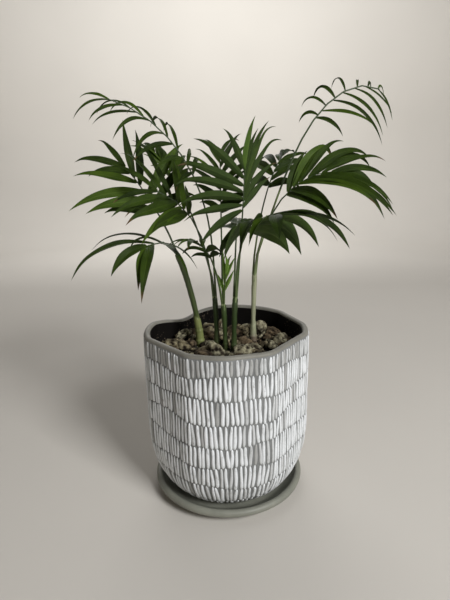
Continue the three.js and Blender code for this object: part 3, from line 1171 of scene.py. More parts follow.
    def build(self) -> Object:
        """Lays all rows and paints them.

        Returns:
            The finished piece.
        """
        skin = Skin()
        for row in range(self.rows):
            middle = self.under_rim + row * self.row_height + 0.5 * self.first_row
            around = 2 * math.pi * float(np.interp(middle, self.fall, self.radii))
            count = round(around / self.pitch)
            for index in range(count):
                self.stroke(skin, row, index, count)
        piece = skin.made("pot_strokes", [slip.mixed() for slip in self.coats])
        polish(piece, 60)
        return hand_over(piece, ["pot"])


@dataclass
class Saucer:
    """A turned dish with a thick round lip.

    Its under side and its inside are given as points: how far out from the foot, and how high.
    """

    foot_radius: float = 44.0
    lip_radius: float = 57.4
    height: float = 11.0
    lip_thickness: float = 5.4
    floor: float = 5.0
    foot_round: float = 0.8
    centre: float = 2.0  # the radius of the small disc that the turning starts and ends with
    under: tuple[tuple[float, float], ...] = ((1.6, 0.25), (3.8, 1.1), (6.8, 2.6))
    inside: tuple[tuple[float, float], ...] = ((5.0, 7.5), (3.2, 6.0), (0.6, 5.2))
    lip_turns: range = range(-63, 163, 15)  # where round the lip its rings lie, in degrees
    turning_marks: int = 9  # faint rings on the floor
    turning_step: float = 4.0
    turning_mark: float = 0.12  # how far every other one stands up
    segments: int = 144
    clay: Stoneware = Stoneware(
        "smooth_grey_clay",
        (0.245, 0.25, 0.21),
        (0.176, 0.18, 0.15),
        roughness=0.5,
        grain=0.025,
        flecks=0.4,
    )

    def profile(self) -> list[tuple[float, float]]:
        """The rings from the foot out, round the lip and in to the middle of the floor.

        Returns:
            The radius and height of each ring.
        """
        foot, half = self.foot_radius, self.lip_thickness / 2
        lip = []
        for turn in self.lip_turns:
            out, up = half * math.cos(math.radians(turn)), half * math.sin(math.radians(turn))
            lip.append((self.lip_radius - half + out, self.height - half + up))
        base = [(self.centre, 0), (foot * 0.5, 0), (foot - self.foot_round, 0), (foot, 0.05)]
        under = [(foot + out, up) for out, up in self.under]
        inside = [(foot + out, up) for out, up in self.inside]
        floor = []
        for index in range(self.turning_marks):
            floor.append((foot - 3 - self.turning_step * index, self.floor + self.turning_mark * (index % 2)))
        return [*base, *under, *lip, *inside, *floor, (self.centre, self.floor)]

    def hand_turned(self, point: Vector) -> Vector:
        """Lets the lip waver a little, and keeps the foot flat.

        Args:
            point: A point of the turned dish.

        Returns:
            Its new place.
        """
        away = math.hypot(point.x, point.y)
        share = smooth(away, self.foot_radius, self.lip_radius)
        waver = noise.noise(Vector((point.x, point.y, 0)) * 0.02)
        kept = 1 - share * 0.004 * (1 + waver)
        lift = 0.35 * share * waver * smooth(point.z, 1, self.height)
        return Vector((point.x * kept, point.y * kept, point.z - abs(lift)))

    def build(self) -> Object:
        """Turns the dish and paints it.

        Returns:
            The finished piece.
        """
        piece = throw("saucer_dish", self.profile(), self.segments)
        press(piece, self.hand_turned)
        piece.data.materials.append(self.clay.mixed())
        polish(piece, 45)
        return hand_over(piece, ["saucer"])


# ------------------------------ bed


@dataclass(frozen=True)
class Stone:
    """A stone of the bed."""

    foot: tuple[float, float]
    size: float  # its radius before it is broken
    lift: float  # how far its middle lies above the soil
    seed: float


def ball(subdivisions: int) -> tuple[np.ndarray, np.ndarray]:
    """The points and triangles of an icosphere of radius 1, modelled once and removed.

    Args:
        subdivisions: How fine it is.

    Returns:
        Its points and its triangles.
    """
    deselect()
    bpy.ops.mesh.primitive_ico_sphere_add(subdivisions=subdivisions, radius=1)
    made = bpy.context.object
    points = np.array([vertex.co for vertex in made.data.vertices])
    triangles = np.array([face.vertices[:] for face in made.data.polygons])
    bpy.data.objects.remove(made)
    return points, triangles


def directions(draws: np.ndarray) -> np.ndarray:
    """Unit vectors from draws, three to a vector."""
    found = draws.reshape(-1, 3)
    return found / np.linalg.norm(found, axis=1)[:, None]


def nearness(points: np.ndarray, spots: np.ndarray, width: float) -> np.ndarray:
    """How near each point of a ball is to the nearest of some spots, 1 on a spot."""
    return np.exp((points @ spots.T - 1).max(axis=1) / width)


@dataclass(frozen=True)
class Breakage:
    """How a ball is broken into a stone of pumice: flat faces, lumps like popped corn and pits."""

    planes: int = 12
    plane_depth: tuple[float, float] = (0.84, 0.18)  # how far from the middle, and how varied
    furthest: float = 1.6  # no plane cuts further out than this
    softness: float = 7.0  # how sharply two planes meet: higher is sharper
    shrink: float = 0.88
    lumps: int = 20
    lump_width: float = 0.065
    lump: float = 0.15
    pits: int = 22
    pit_width: float = 0.01
    pit: float = 0.15
    roughness: float = 0.07
    grain: float = 4.3  # how fine the roughness is
    stretch: tuple[tuple[float, float], ...] = ((1.0, 0.22), (1.0, 0.2), (0.86, 0.12))  # and how varied
    draws: int = 240
    draws_from: tuple[int, int, int] = (50, 130, 220)  # for the lumps, the pits and the shape

    def broken(self, points: np.ndarray, stone: Stone) -> tuple[np.ndarray, np.ndarray]:
        """Breaks a ball into a stone.

        Args:
            points: The points of a ball of radius 1.
            stone: The stone.

        Returns:
            The stone's points about its middle, and how far each of them bulges.
        """
        draws = np.array([scatter(stone.seed + 0.5, k) for k in range(self.draws)])
        facing = np.clip(points @ directions(draws[: 3 * self.planes]).T, 1e-3, None)
        nearest, varied = self.plane_depth
        depths = nearest + varied * draws[3 * self.planes : 4 * self.planes]
        cut = np.minimum(depths / facing, self.furthest)
        away = (cut**-self.softness).mean(axis=1) ** (-1 / self.softness) * self.shrink
        lump, pit, shape = self.draws_from
        lumps = nearness(points, directions(draws[lump : lump + 3 * self.lumps]), self.lump_width)
        pits = nearness(points, directions(draws[pit : pit + 3 * self.pits]), self.pit_width)
        offset = Vector((stone.seed, 0, 0))
        rough = np.array([noise.noise(Vector(point) * self.grain + offset) for point in points])
        bulge = self.lump * (lumps - 0.6) + self.roughness * rough - self.pit * pits
        *axes, spin, tip = draws[shape : shape + 5]
        stretch = np.array([mean + varied * drawn for (mean, varied), drawn in zip(self.stretch, axes)])
        turn = np.array(Matrix.Rotation(3.1 * spin, 3, "Z") @ Matrix.Rotation(0.6 * tip, 3, "X"))
        return (points * (away * (1 + bulge))[:, None] * stretch) @ turn.T * stone.size, bulge


@dataclass
class Bed:
    """Dark soil in the pot with rough pumice stones and crumbs on it."""

    form: PotForm = PotForm()
    feet: Sequence[tuple[tuple[float, float], float]] = ()  # of the canes: place and radius
    top: float = 107.0
    depth: float = 9.0
    stones: int = 62  # places in the spiral of the part's source
    smallest: float = 3.8
    largest: float = 6.8
    wander: float = 14.0  # how far a place strays round the spiral, in degrees
    clear: float = 1.3  # how many times its size a stone keeps from the wall and the canes
    fillers: int = 240
    filler_size: tuple[float, float] = (1.7, 4.2)
    filler_clear: tuple[float, float] = (1.15, 0.8)  # as clear, for the wall and for the canes
    filler_spiral: tuple[float, float] = (1.07, 20.0)  # its turn in golden angles, and its wander
    packing: float = 0.72  # how close a filler may lie to a stone: 1 is side by side
    crumbs: int = 280
    crumb_size: tuple[float, float] = (0.5, 1.5)
    crumb_spiral: tuple[float, float] = (1.13, 30.0)
    seed: float = 11.0
    filler_seeds: int = 200  # the seed of the first filler, and so on
    crumb_seeds: int = 900
    soil_sides: int = 112
    soil_rings: int = 32
    soil_step: float = 1.6  # from one ring of the soil's top to the next
    soil_lumps: tuple[tuple[float, float], ...] = ((1.0, 0.16), (0.5, 0.42), (0.25, 1.1))  # share, in a mm
    breakage: Breakage = Breakage()
    piled: tuple[Stone, ...] = (  # stones that lie on the others
        Stone((26, 26), 5.4, 9.0, 301),
        Stone((36, 25), 4.6, 5.0, 302),
        Stone((16, 32), 4.8, 4.6, 303),
        Stone((-34, 25), 5.0, 4.6, 304),
        Stone((44, 6), 4.2, 3.6, 305),
        Stone((-12, 30), 4.4, 4.4, 306),
    )
    tones: tuple[Pumice, ...] = (
        Pumice("tan_pumice", (0.285, 0.248, 0.155), (0.105, 0.084, 0.047)),
        Pumice("grey_pumice", (0.37, 0.345, 0.235), (0.14, 0.124, 0.078)),
        Pumice("brown_pumice", (0.17, 0.128, 0.078), (0.07, 0.05, 0.029)),
    )

    def spot(self, angle: float, keep: float, share: float) -> tuple[float, float]:
        """A place in a spiral that fills the pot's plan evenly.

        Args:
            angle: Its angle in degrees.
            keep: How far it keeps from the wall.
            share: The share of the plan's area that lies within it.

        Returns:
            The place.
        """
        reach = (self.form.inner_radius(angle, self.form.rim) - keep) * math.sqrt(share)
        return (reach * math.cos(math.radians(angle)), reach * math.sin(math.radians(angle)))

    def main_stones(self) -> list[Stone]:
        """The stones of the frame's bed, by the rule of the part's source.

        Returns:
            Those that don't touch a cane.
        """
        found = []
        for index in range(self.stones):
            draw = [scatter(self.seed, index * 9 + k) for k in range(9)]
            size = mix(self.smallest, self.largest, (draw[1] + 1) / 2)
            angle = index * GOLDEN_ANGLE + self.wander * draw[0]
            keep = self.clear * size
            foot = self.spot(angle, keep + 1, (index + 0.5) / self.stones)
            if all(math.dist(foot, at) > radius + keep + GAP for at, radius in self.feet):
                found.append(Stone(foot, size, size * (0.3 + 0.25 * draw[7]), index))
        return found

    def filler_stones(self, main: Sequence[Stone]) -> list[Stone]:
        """Smaller stones between the main ones.

        Args:
            main: The stones that are there already.

        Returns:
            Those that found room.
        """
        found: list[Stone] = []
        turn, wander = self.filler_spiral
        for index in range(self.fillers):
            draw = [scatter(self.seed + 7, index * 5 + k) for k in range(5)]
            size = mix(*self.filler_size, ((draw[0] + 1) / 2) ** 1.3)
            angle = index * GOLDEN_ANGLE * turn + wander * draw[1]
            to_wall, to_cane = (size * clear for clear in self.filler_clear)
            foot = self.spot(angle, to_wall + 2 * GAP, (index + 0.5) / self.fillers)
            laid = [*main, *found]
            free = all(math.dist(foot, stone.foot) > self.packing * (size + stone.size) for stone in laid)
            off = all(math.dist(foot, at) > radius + to_cane for at, radius in self.feet)
            if free and off:
                found.append(Stone(foot, size, size * (0.35 + 0.3 * draw[2]), self.filler_seeds + index))
        return found

    def crumb_stones(self) -> list[Stone]:
        """Crumbs that are strewn all over.

        Returns:
            The crumbs.
        """
        found = []
        turn, wander = self.crumb_spiral
        for index in range(self.crumbs):
            draw = [scatter(self.seed + 3, index * 4 + k) for k in range(4)]
            angle = index * GOLDEN_ANGLE * turn + wander * draw[0]
            size = mix(*self.crumb_size, ((draw[1] + 1) / 2) ** 2)
            foot = self.spot(angle, size + 2 * GAP, (index + 0.5) / self.crumbs)
            found.append(Stone(foot, size, 0.4 * size + 0.3 * draw[2], self.crumb_seeds + index))
        return found

    def laid(self, points: np.ndarray, stone: Stone) -> tuple[np.ndarray, np.ndarray]:
        """Breaks a stone and lays it on the soil.

        Args:
            points: The points of a ball of radius 1.
            stone: The stone.

        Returns:
            The stone's points in place, and how little painted shade each of them gets, 0 to 1: points low on
            the bed or in hollows get more.
        """
        broken, bulge = self.breakage.broken(points, stone)
        placed = broken + np.array([*stone.foot, self.top + stone.lift])
        # painted shade: the nearer a point lies to the soil and the more sunken it is, the darker the stone
        # is painted there
        sky = np.clip((placed[:, 2] - self.top + 0.5) / (0.9 * stone.size + 0.5), 0, 1)
        unshaded_share = np.clip((0.55 + 2.2 * bulge) * (0.45 + 0.75 * sky), 0, 1)
        return placed, unshaded_share

    def soil_surface(self, point: Vector) -> Vector:
        """Shapes the soil: it follows the pot's plan and is lumpy on top.

        Args:
            point: A point of the round cake of soil.

        Returns:
            Its new place.
        """
        away = math.hypot(point.x, point.y)
        angle = math.degrees(math.atan2(point.y, point.x))
        outer = self.form.inner_radius(angle, point.z) - 1.3 * GAP
        kept = outer / (self.form.belly(point.z - self.form.bottom) - self.form.wall)
        placed = Vector((point.x * kept, point.y * kept, point.z))
        if point.z > self.top - 1:
            lumps = sum(share * noise.noise(placed * in_mm) for share, in_mm in self.soil_lumps)
            placed.z += 0.9 * lumps * smooth(away, 0, 4) - 0.6
        return placed

    def soil(self) -> Object:
        """Lays the soil.

        Returns:
            The finished piece.
        """
        wall = self.form.belly(self.top - self.form.bottom) - self.form.wall
        low = self.top - self.depth
        side = [(8, low), (wall - 2, low), (wall, low + 1), (wall, self.top - 0.5)]
        rings = [(wall - self.soil_step * k, self.top) for k in range(1, self.soil_rings + 1)]
        piece = throw("bed_soil", [*side, *rings], self.soil_sides)
        press(piece, self.soil_surface)
        piece.data.materials.append(Soil().mixed())
        polish(piece, 60)
        return hand_over(piece, ["bed"])

    def build(self) -> list[Object]:
        """Lays the soil, the stones and the crumbs.

        Returns:
            The finished pieces: the soil, and the stones of each tone.
        """
        pieces = [self.soil()]
        main = self.main_stones()
        batches = [([*main, *self.piled], 5), (self.filler_stones(main), 3), (self.crumb_stones(), 1)]
        heaps = [Skin() for _ in self.tones]
        for batch, fineness in batches:
            points, triangles = ball(fineness)
            for stone in batch:
                placed, unshaded_share = self.laid(points, stone)
                heaps[int(stone.seed) % len(heaps)].solid(placed, triangles, unshaded_share)
        for heap, tone in zip(heaps, self.tones):
            piece = heap.made("bed_" + tone.name, [tone.mixed()])
            polish(piece, 75)
            pieces.append(hand_over(piece, ["bed"]))
        return pieces


# ------------------------------ canes


@dataclass(frozen=True)
class Sheath:
    """An old leaf sheath round a cane, cut off on a slant."""

    end: float  # how far up the cane it ends, in millimetres
    slant: float  # how much further it reaches on its high side
    facing: float  # where its high side faces, in degrees
    thickness: float = 0.25


@dataclass(frozen=True)
class Node:
    """A swollen ring where an old leaf has left the cane."""

    height: float
    swell: float = 0.45
    width: float = 0.8


@dataclass(frozen=True, kw_only=True)
class Cane:
    """A cane in its sheaths, from the bed to where its petioles leave it."""

    name: str
    foot: tuple[float, float]
    azimuth: float
    lean: tuple[float, float]
    length: float
    radius: tuple[float, float, float]  # at its foot, where its sheath ends and at its tip
    skin: Stalk
    sheaths: tuple[Sheath, ...] = ()
    nodes: tuple[Node, ...] = ()
    sheath_end: float = 0.35  # the share of its length where it stops narrowing fast
    sheath_edge: float = 0.9  # how long a sheath's worn edge is
    ridge: float = 0.06
    ridges: int = 7
    dent: float = 0.16
    dents_in_mm: float = 0.16
    ring_step: float = 0.6
    sunk: float = 3.0  # how far it goes on down into the bed
    sides: int = 20

    def stations(self, top: float, steps: int = 8) -> list[Station]:
        """Its course, by the rule of the part's source.

        Args:
            top: The height of the bed.
            steps: How many steps the course has.

        Returns:
            The stations from foot to tip.
        """
        start = Vector((*self.foot, top + GAP))
        return Limb(self.azimuth, self.lean, self.length).grow(start, Vector((0, 0, 1)), steps)

    def girth(self, along: float) -> float:
        """The radius, with its swollen rings and its rounded end.

        Args:
            along: The distance from the foot.

        Returns:
            The radius there.
        """
        share = min(1.0, max(0.0, along / self.length))
        foot, waist, head = self.radius
        if share < self.sheath_end:
            radius = mix(foot, waist, smooth(share, 0, self.sheath_end))
        else:
            radius = mix(waist, head, (share - self.sheath_end) / (1 - self.sheath_end))
        for node in self.nodes:
            radius += node.swell * math.exp(-(((along - node.height) / node.width) ** 2))
        close = max(0.0, 1 - (self.length - along) / head)
        return radius * math.sqrt(max(0.02, 1 - close * close))

    def relief(self, angle: float, along: float) -> float:
        """How far sheaths, ridges and dents stand out of the cane.

        Args:
            angle: Where round the cane, in degrees.
            along: The distance from the foot.

        Returns:
            The height in millimetres.
        """
        out = 0.0
        for sheath in self.sheaths:
            edge = sheath.end + sheath.slant * math.cos(math.radians(angle - sheath.facing))
            out += sheath.thickness * smooth(edge - along, 0, self.sheath_edge)
        ridges = self.ridge * math.sin(math.radians(self.ridges * angle + 3 * along))
        around = math.radians(angle)
        dents = noise.noise(Vector((math.cos(around), math.sin(around), along * self.dents_in_mm)))
        return out + ridges + self.dent * dents

    def build(self, top: float) -> Object:
        """Draws the cane out straight, gives it its relief, then lays it along its course.

        Args:
            top: The height of the bed.

        Returns:
            The finished piece.
        """
        course = self.stations(top)
        steps = round(self.length / self.ring_step)
        heights = [-self.sunk, *(self.length * k / steps for k in range(steps)), self.length - 0.05]
        profile = [(self.girth(height), height) for height in (*heights, self.length)]
        piece = throw(self.name + "_cane", profile, self.sides)

        def laid(point: Vector) -> Vector:
            """Takes a point of the straight cane to its place on the course.

            Args:
                point: The point.

            Returns:
                Its new place.
            """
            away = math.hypot(point.x, point.y)
            angle = math.degrees(math.atan2(point.y, point.x))
            out = 1 + self.relief(angle, point.z) / max(away, 0.5) * smooth(self.length - point.z, 0, 2)
            at = station_at(course, min(1.0, max(0.0, point.z / self.length)))
            below = min(0.0, point.z)
            return at.point + at.along * below + (at.side * point.x + at.up * point.y) * out

        press(piece, laid)
        piece.data.materials.append(self.skin.mixed())
        polish(piece, 50)
        return hand_over(piece, [self.name])


# ------------------------------ fronds


class Tint(Enum):
    """The colours of a leaflet and of its dry tip, each with an upper and an under side."""

    DEEP = 0
    MIDDLE = 1
    BRIGHT = 2
    YOUNG = 3
    DRY = 4


@dataclass(frozen=True)
class Greens:
    """The leaf finishes, an upper and an under side for each tint."""

    upper: tuple[Leaf, ...] = (
        Leaf("deep_green_leaf", (0.0235, 0.043, 0.0052), (0.014, 0.026, 0.0036), (0.04, 0.066, 0.011)),
        Leaf("middle_green_leaf", (0.035, 0.062, 0.007), (0.0215, 0.039, 0.0048), (0.054, 0.088, 0.014)),
        Leaf("bright_green_leaf", (0.058, 0.1, 0.0095), (0.041, 0.075, 0.0075), (0.088, 0.14, 0.022)),
        Leaf("young_green_leaf", (0.17, 0.31, 0.038), (0.115, 0.23, 0.028), (0.25, 0.38, 0.075)),
        DryTip("dry_leaf_tip", (0.14, 0.09, 0.038), (0.08, 0.05, 0.02), (0.17, 0.12, 0.055), 0.5),
    )
    under: tuple[Leaf, ...] = (
        Leaf(
            "deep_green_underside", (0.034, 0.058, 0.011), (0.024, 0.044, 0.0088), (0.052, 0.082, 0.019), 0.55
        ),
        Leaf(
            "middle_green_underside", (0.048, 0.08, 0.0145), (0.034, 0.06, 0.0115), (0.07, 0.1, 0.025), 0.55
        ),
        Leaf(
            "bright_green_underside", (0.072, 0.126, 0.02), (0.052, 0.098, 0.016), (0.105, 0.165, 0.04), 0.55
        ),
        Leaf("young_green_underside", (0.18, 0.3, 0.052), (0.13, 0.235, 0.042), (0.24, 0.35, 0.085), 0.55),
        DryTip("dry_leaf_underside", (0.14, 0.1, 0.05), (0.085, 0.058, 0.028), (0.17, 0.13, 0.065), 0.6),
    )

    def mixed(self) -> list[Material]:
        """Mixes all of them, the upper sides first."""
        return [leaf.mixed() for leaf in (*self.upper, *self.under)]


@dataclass(frozen=True)
class LeafletForm:
    """How a leaflet is made: its outline, its section and how its blade moves."""

    steps: int = 26
    close_low: float = 1.12  # its sections lie closer together near its foot
    widest: float = 0.4
    foot_width: float = 0.3
    tail_width: float = 0.68
    thickness: float = 0.3
    across: tuple[float, ...] = (1.0, 0.74, 0.46, 0.16, 0.0, -0.16, -0.46, -0.74, -1.0)
    keel: float = 0.1  # how deep the channel on its rib is, in half widths
    keel_width: float = 0.2
    cup: float = 1.35  # how late its fold rises from the rib to the edge
    wave: float = 0.07  # how far its edges ripple, in half widths
    ripples: float = 13.0  # how fast, in radians along its length
    sweep: float = 0.1  # how far it bends aside
    twist: float = 16.0  # in degrees, from foot to tip
    curl: float = 0.32  # how far the tip bends down beyond the sag
    curl_from: float = 0.68  # the share of its length where the tip begins to bend
    dry_rows: int = 4  # how many sections a dry tip has, one more or less

    def width(self, share: float) -> float:
        """How wide the blade is, with a longer tip than the source's.

        Args:
            share: The share of the blade's length.

        Returns:
            The share of its half width.
        """
        if share < self.widest:
            return mix(self.foot_width, 1, math.sin(share / self.widest * 0.5 * math.pi) ** 0.9)
        rest = (share - self.widest) / (1 - self.widest)
        return max(0.0, math.cos(rest * 0.5 * math.pi)) ** 0.98 * mix(1, self.tail_width, rest)


@dataclass(frozen=True)
class Leaflet:
    """One leaflet where it leaves the rib."""

    base: Vector
    direction: Vector
    normal: Vector
    length: float
    half: float  # half its width where it is widest
    sag: float
    draws: tuple[float, ...]
    fold: float  # how far its edges stand up, in half widths
    form: LeafletForm = LeafletForm()

    def section(self, share: float, point: Vector, along: Vector) -> list[Vector]:
        """The ring of points round the blade at a share of its length.

        Args:
            share: The share of the length.
            point: The middle of the section.
            along: The blade's direction there.

        Returns:
            The upper side from edge to edge, then the under side back.
        """
        form = self.form
        flat = self.normal.cross(along).normalized()
        turn = Matrix.Rotation(math.radians(form.twist * self.draws[0] * share), 3, along)
        across = turn @ flat
        up = along.cross(across)
        half = self.half * form.width(share)
        thick = form.thickness * mix(1, 0.45, share) * smooth(1.02 - share, 0, 0.1)
        upper, under = [], []
        for u in form.across:
            channel = form.keel * math.exp(-((u / form.keel_width) ** 2))
            rise = (self.fold * abs(u) ** form.cup - channel) * half
            phase = share * form.ripples + 5 * self.draws[1] + (1.4 if u > 0 else 0)
            ripple = form.wave * half * u * u * math.sin(phase) * smooth(share, 0.05, 0.3)
            thinner = 0.5 * (1 - math.sqrt(1 - 0.75 * u * u))
            place = point + across * (u * half * (1 - 0.12 * self.fold)) + up * (rise + ripple)
            upper.append(place)
            if abs(u) < 1:
                under.append(place - up * thick * (1 - thinner))
        return upper + under[::-1]

    def lay(self, skin: Skin, tint: Tint, dry: bool) -> None:
        """Lays the leaflet's blade.

        Args:
            skin: The mesh it goes into.
            tint: Its green.
            dry: Whether its tip has dried.
        """
        form = self.form
        point = self.base.copy()
        level = self.normal.cross(self.direction).normalized()
        rings: list[list[Vector]] = []
        last = 0.0
        for step in range(form.steps + 1):
            share = (step / form.steps) ** form.close_low
            middle, along = (self.bent(at, level) for at in ((share + last) / 2, share))
            point += middle * ((share - last) * self.length)
            if step in (0, form.steps):
                rings.append([point.copy()])
            else:
                rings.append(self.section(share, point, along))
            last = share
        top = len(form.across) - 1
        u = [0.5 - 0.5 * value for value in form.across]
        where = u + u[1:-1][::-1]
        greens = len(Tint)
        tip = form.steps - form.dry_rows - int(2 * self.draws[2])

        def finish(row: int, side: int) -> int:
            """The material of one face of the blade."""
            colour = Tint.DRY if dry and row >= tip else tint
            return colour.value + (0 if side < top else greens)

        skin.loft(rings, where, finish)

    def bent(self, share: float, level: Vector) -> Vector:
        """The blade's direction: it sags, sweeps aside and curls down at its tip.

        Args:
            share: The share of the blade's length.
            level: The direction across the blade at its foot.

        Returns:
            A unit vector.
        """
        curl = self.form.curl * (1 + 0.8 * self.draws[2]) * smooth(share, self.form.curl_from, 1.0)
        droop = Vector((0, 0, -self.sag * share**1.5 - curl))
        sweep = level * (self.form.sweep * self.draws[3] * 2 * share)
        return (self.direction + droop + sweep).normalized()


@dataclass(frozen=True)
class Varied:
    """How much a leaflet differs from its neighbours, as in the part's source."""

    place: float = 0.12
    splay: float = 8.0
    lift: float = 8.0
    length: float = 0.14
    width: float = 0.2
    sag: float = 0.4


@dataclass(frozen=True, kw_only=True)
class Frond:
    """A frond: a slender petiole and rib with pairs of leaflets."""

    name: str
    stem: str
    seat: float  # where round its cane's tip it stands, in degrees
    azimuth: float
    turn: float = 0.0
    lean: tuple[float, float]
    bow: float = 1.0
    length: float
    bare: float  # the share of its length below the leaflets
    pairs: int
    roll: float = 0.0  # how far its blade turns about the rib, in degrees
    lift: float = 0.0  # how far its leaflets stand up out of the blade, in degrees
    leaf: tuple[float, float]  # the longest leaflet and its place
    half: tuple[float, float]  # half width of the first and the last
    sides: tuple[float, float] = (1.0, 1.0)  # this and the next are for the right and the left leaflets
    splay: tuple[tuple[float, float], tuple[float, float]]  # in degrees, of the first and the last
    sag: float  # how far its leaflets hang
    seed: float
    bright: float = 0.12  # the share of its leaflets that are bright
    middle: float = 0.42  # the share that are of the middle green; the others are deep
    fold: float = 0.3
    pale: float = 0.0  # the share of its petiole that is as pale as the cane
    step: float = 14.0  # of the walk in the part's source
    petiole: tuple[float, float] = (0.8, 0.36)
    seat_radius: float = 1.15
    sunk: float = 7.0  # how far the petiole goes on down in its cane
    young: bool = False
    foot_length: float = 0.62  # this and the next are shares of the longest leaflet
    tip_length: float = 0.6
    alternate: float = 0.22  # how far a leaflet lies before or behind its pair's place, in pairs
    end: float = 0.99
    dry_from: float = 0.78  # a leaflet whose draw is higher, of -1 to 1, has a dry tip
    rib_sides: int = 10
    rib_step: float = 1.6
    groove: float = 0.3  # how deep the groove on top of the rib is, in radii
    varied: Varied = Varied()

    def stations(self, tip: Station) -> list[Station]:
        """Its course, by the rule of the part's source.

        Args:
            tip: The tip of its cane.

        Returns:
            The stations from foot to tip.
        """
        seat = heading(self.seat, 90)
        seat = (seat - tip.along * seat.dot(tip.along)).normalized()
        start = tip.point + tip.along * GAP + seat * self.seat_radius
        limb = Limb(self.azimuth, self.lean, self.length, self.turn, self.bow, self.roll)
        return limb.grow(start, tip.along, round(self.length / self.step))

    def leaflet_length(self, place: float) -> float:
        """How long the leaflets are.

        Args:
            place: The place along the blade, 0 to 1.

        Returns:
            The share of the longest one's length.
        """
        longest = self.leaf[1]
        first = mix(self.foot_length, 1, math.sin(min(place / longest, 1) * 0.5 * math.pi))
        return first * mix(1, self.tip_length, smooth(place, longest, 1))

    def leaflet(self, stations: Sequence[Station], pair: int, hand: int) -> Leaflet:
        """One leaflet, on the left (1) or right (-1) hand of a pair.

        Args:
            stations: The frond's course.
            pair: The number of its pair.
            hand: Its hand.

        Returns:
            The leaflet.
        """
        own = int(hand > 0)
        draw = [scatter(self.seed, pair * 2 + own + 40 * k) for k in range(12)]
        last = self.pairs - 1
        shift = self.alternate * hand + self.varied.place * draw[0] if pair < last else 0
        place = min(1.0, max(0.0, (pair + shift) / last))
        at = station_at(stations, mix(self.bare, self.end, place))
        splay = math.radians(mix(*self.splay[own], place) + self.varied.splay * draw[1])
        lift = math.radians(self.lift + self.varied.lift * draw[2])
        out = at.side * (hand * math.cos(lift)) + at.up * math.sin(lift)
        longest = self.leaf[0] * self.leaflet_length(place) * self.sides[own]
        return Leaflet(
            base=at.point,
            direction=at.along * math.cos(splay) + out * math.sin(splay),
            normal=at.up * math.cos(lift) - at.side * (hand * math.sin(lift)),
            length=longest * (1 + self.varied.length * draw[3]),
            half=mix(*self.half, place) * (1 + self.varied.width * draw[4]),
            sag=self.sag * (1 + self.varied.sag * draw[5]),
            draws=tuple(draw[6:10]),
            fold=self.fold * (1 + 0.4 * draw[10]),
        )

    def tint(self, pair: int, hand: int) -> Tint:
        """Deals out a leaflet's green.

        Args:
            pair: The number of its pair.
            hand: Its hand, 1 or -1.

        Returns:
            The green.
        """
        if self.young:
            return Tint.YOUNG
        chance = (scatter(self.seed + 31, pair * 2 + (hand > 0)) + 1) / 2
        if chance < self.bright:
            return Tint.BRIGHT
        return Tint.MIDDLE if chance < self.middle + self.bright else Tint.DEEP

    def rib(self, course: Sequence[Station], tip: Station) -> Skin:
        """The petiole and rib, with a groove on top.

        Args:
            course: The frond's course.
            tip: The tip of its cane.

        Returns:
            The skin, whose faces hold 0 for a pale stalk and 1 for a dark one.
        """
        skin = Skin()
        sides, steps = self.rib_sides, max(24, round(self.length / self.rib_step))
        rings = []
        places = [-self.sunk / self.length, *(k / steps for k in range(steps + 1))]
        for share in places:
            at = station_at(course, max(0.0, share))
            middle = at.point + tip.along * min(0.0, share) * self.length
            radius = mix(*self.petiole, max(0.0, share)) * smooth(1.015 - share, 0, 0.03)
            ring = []
            for k in range(sides):
                turn = 2 * math.pi * k / sides
                top = math.exp(-(((turn - 0.5 * math.pi) / 0.5) ** 2))
                kept = 1 - self.groove * top * smooth(share, 0.05, 0.2)
                aside = at.side * (radius * math.cos(turn)) + at.up * (radius * kept * math.sin(turn))
                ring.append(middle + aside)
            rings.append(ring)
        where = [k / sides for k in range(sides)]
        pale = sum(share < self.pale for share in places)
        skin.loft(rings, where, lambda row, side: int(row >= pale))
        return skin

    def build(
        self,
        tip: Station,
        greens: Sequence[Material],
        stalks: Sequence[Material],
    ) -> None:
        """Grows the frond from the tip of its cane.

        Args:
            tip: The tip of the cane.
            greens: The leaf materials.
            stalks: The materials of a pale and of a dark stalk.
        """
        course = self.stations(tip)
        rib = self.rib(course, tip).made(self.name + "_rib", stalks)
        polish(rib, 60)
        hand_over(rib, [self.name])
        skin = Skin()
        for pair in range(self.pairs):
            for hand in (-1, 1):
                dry = scatter(self.seed + 57, pair * 2 + (hand > 0)) > self.dry_from and not self.young
                self.leaflet(course, pair, hand).lay(skin, self.tint(pair, hand), dry)
        leaflets = skin.made(self.name + "_leaflets", greens)
        polish(leaflets, 75)
        hand_over(leaflets, [self.name])


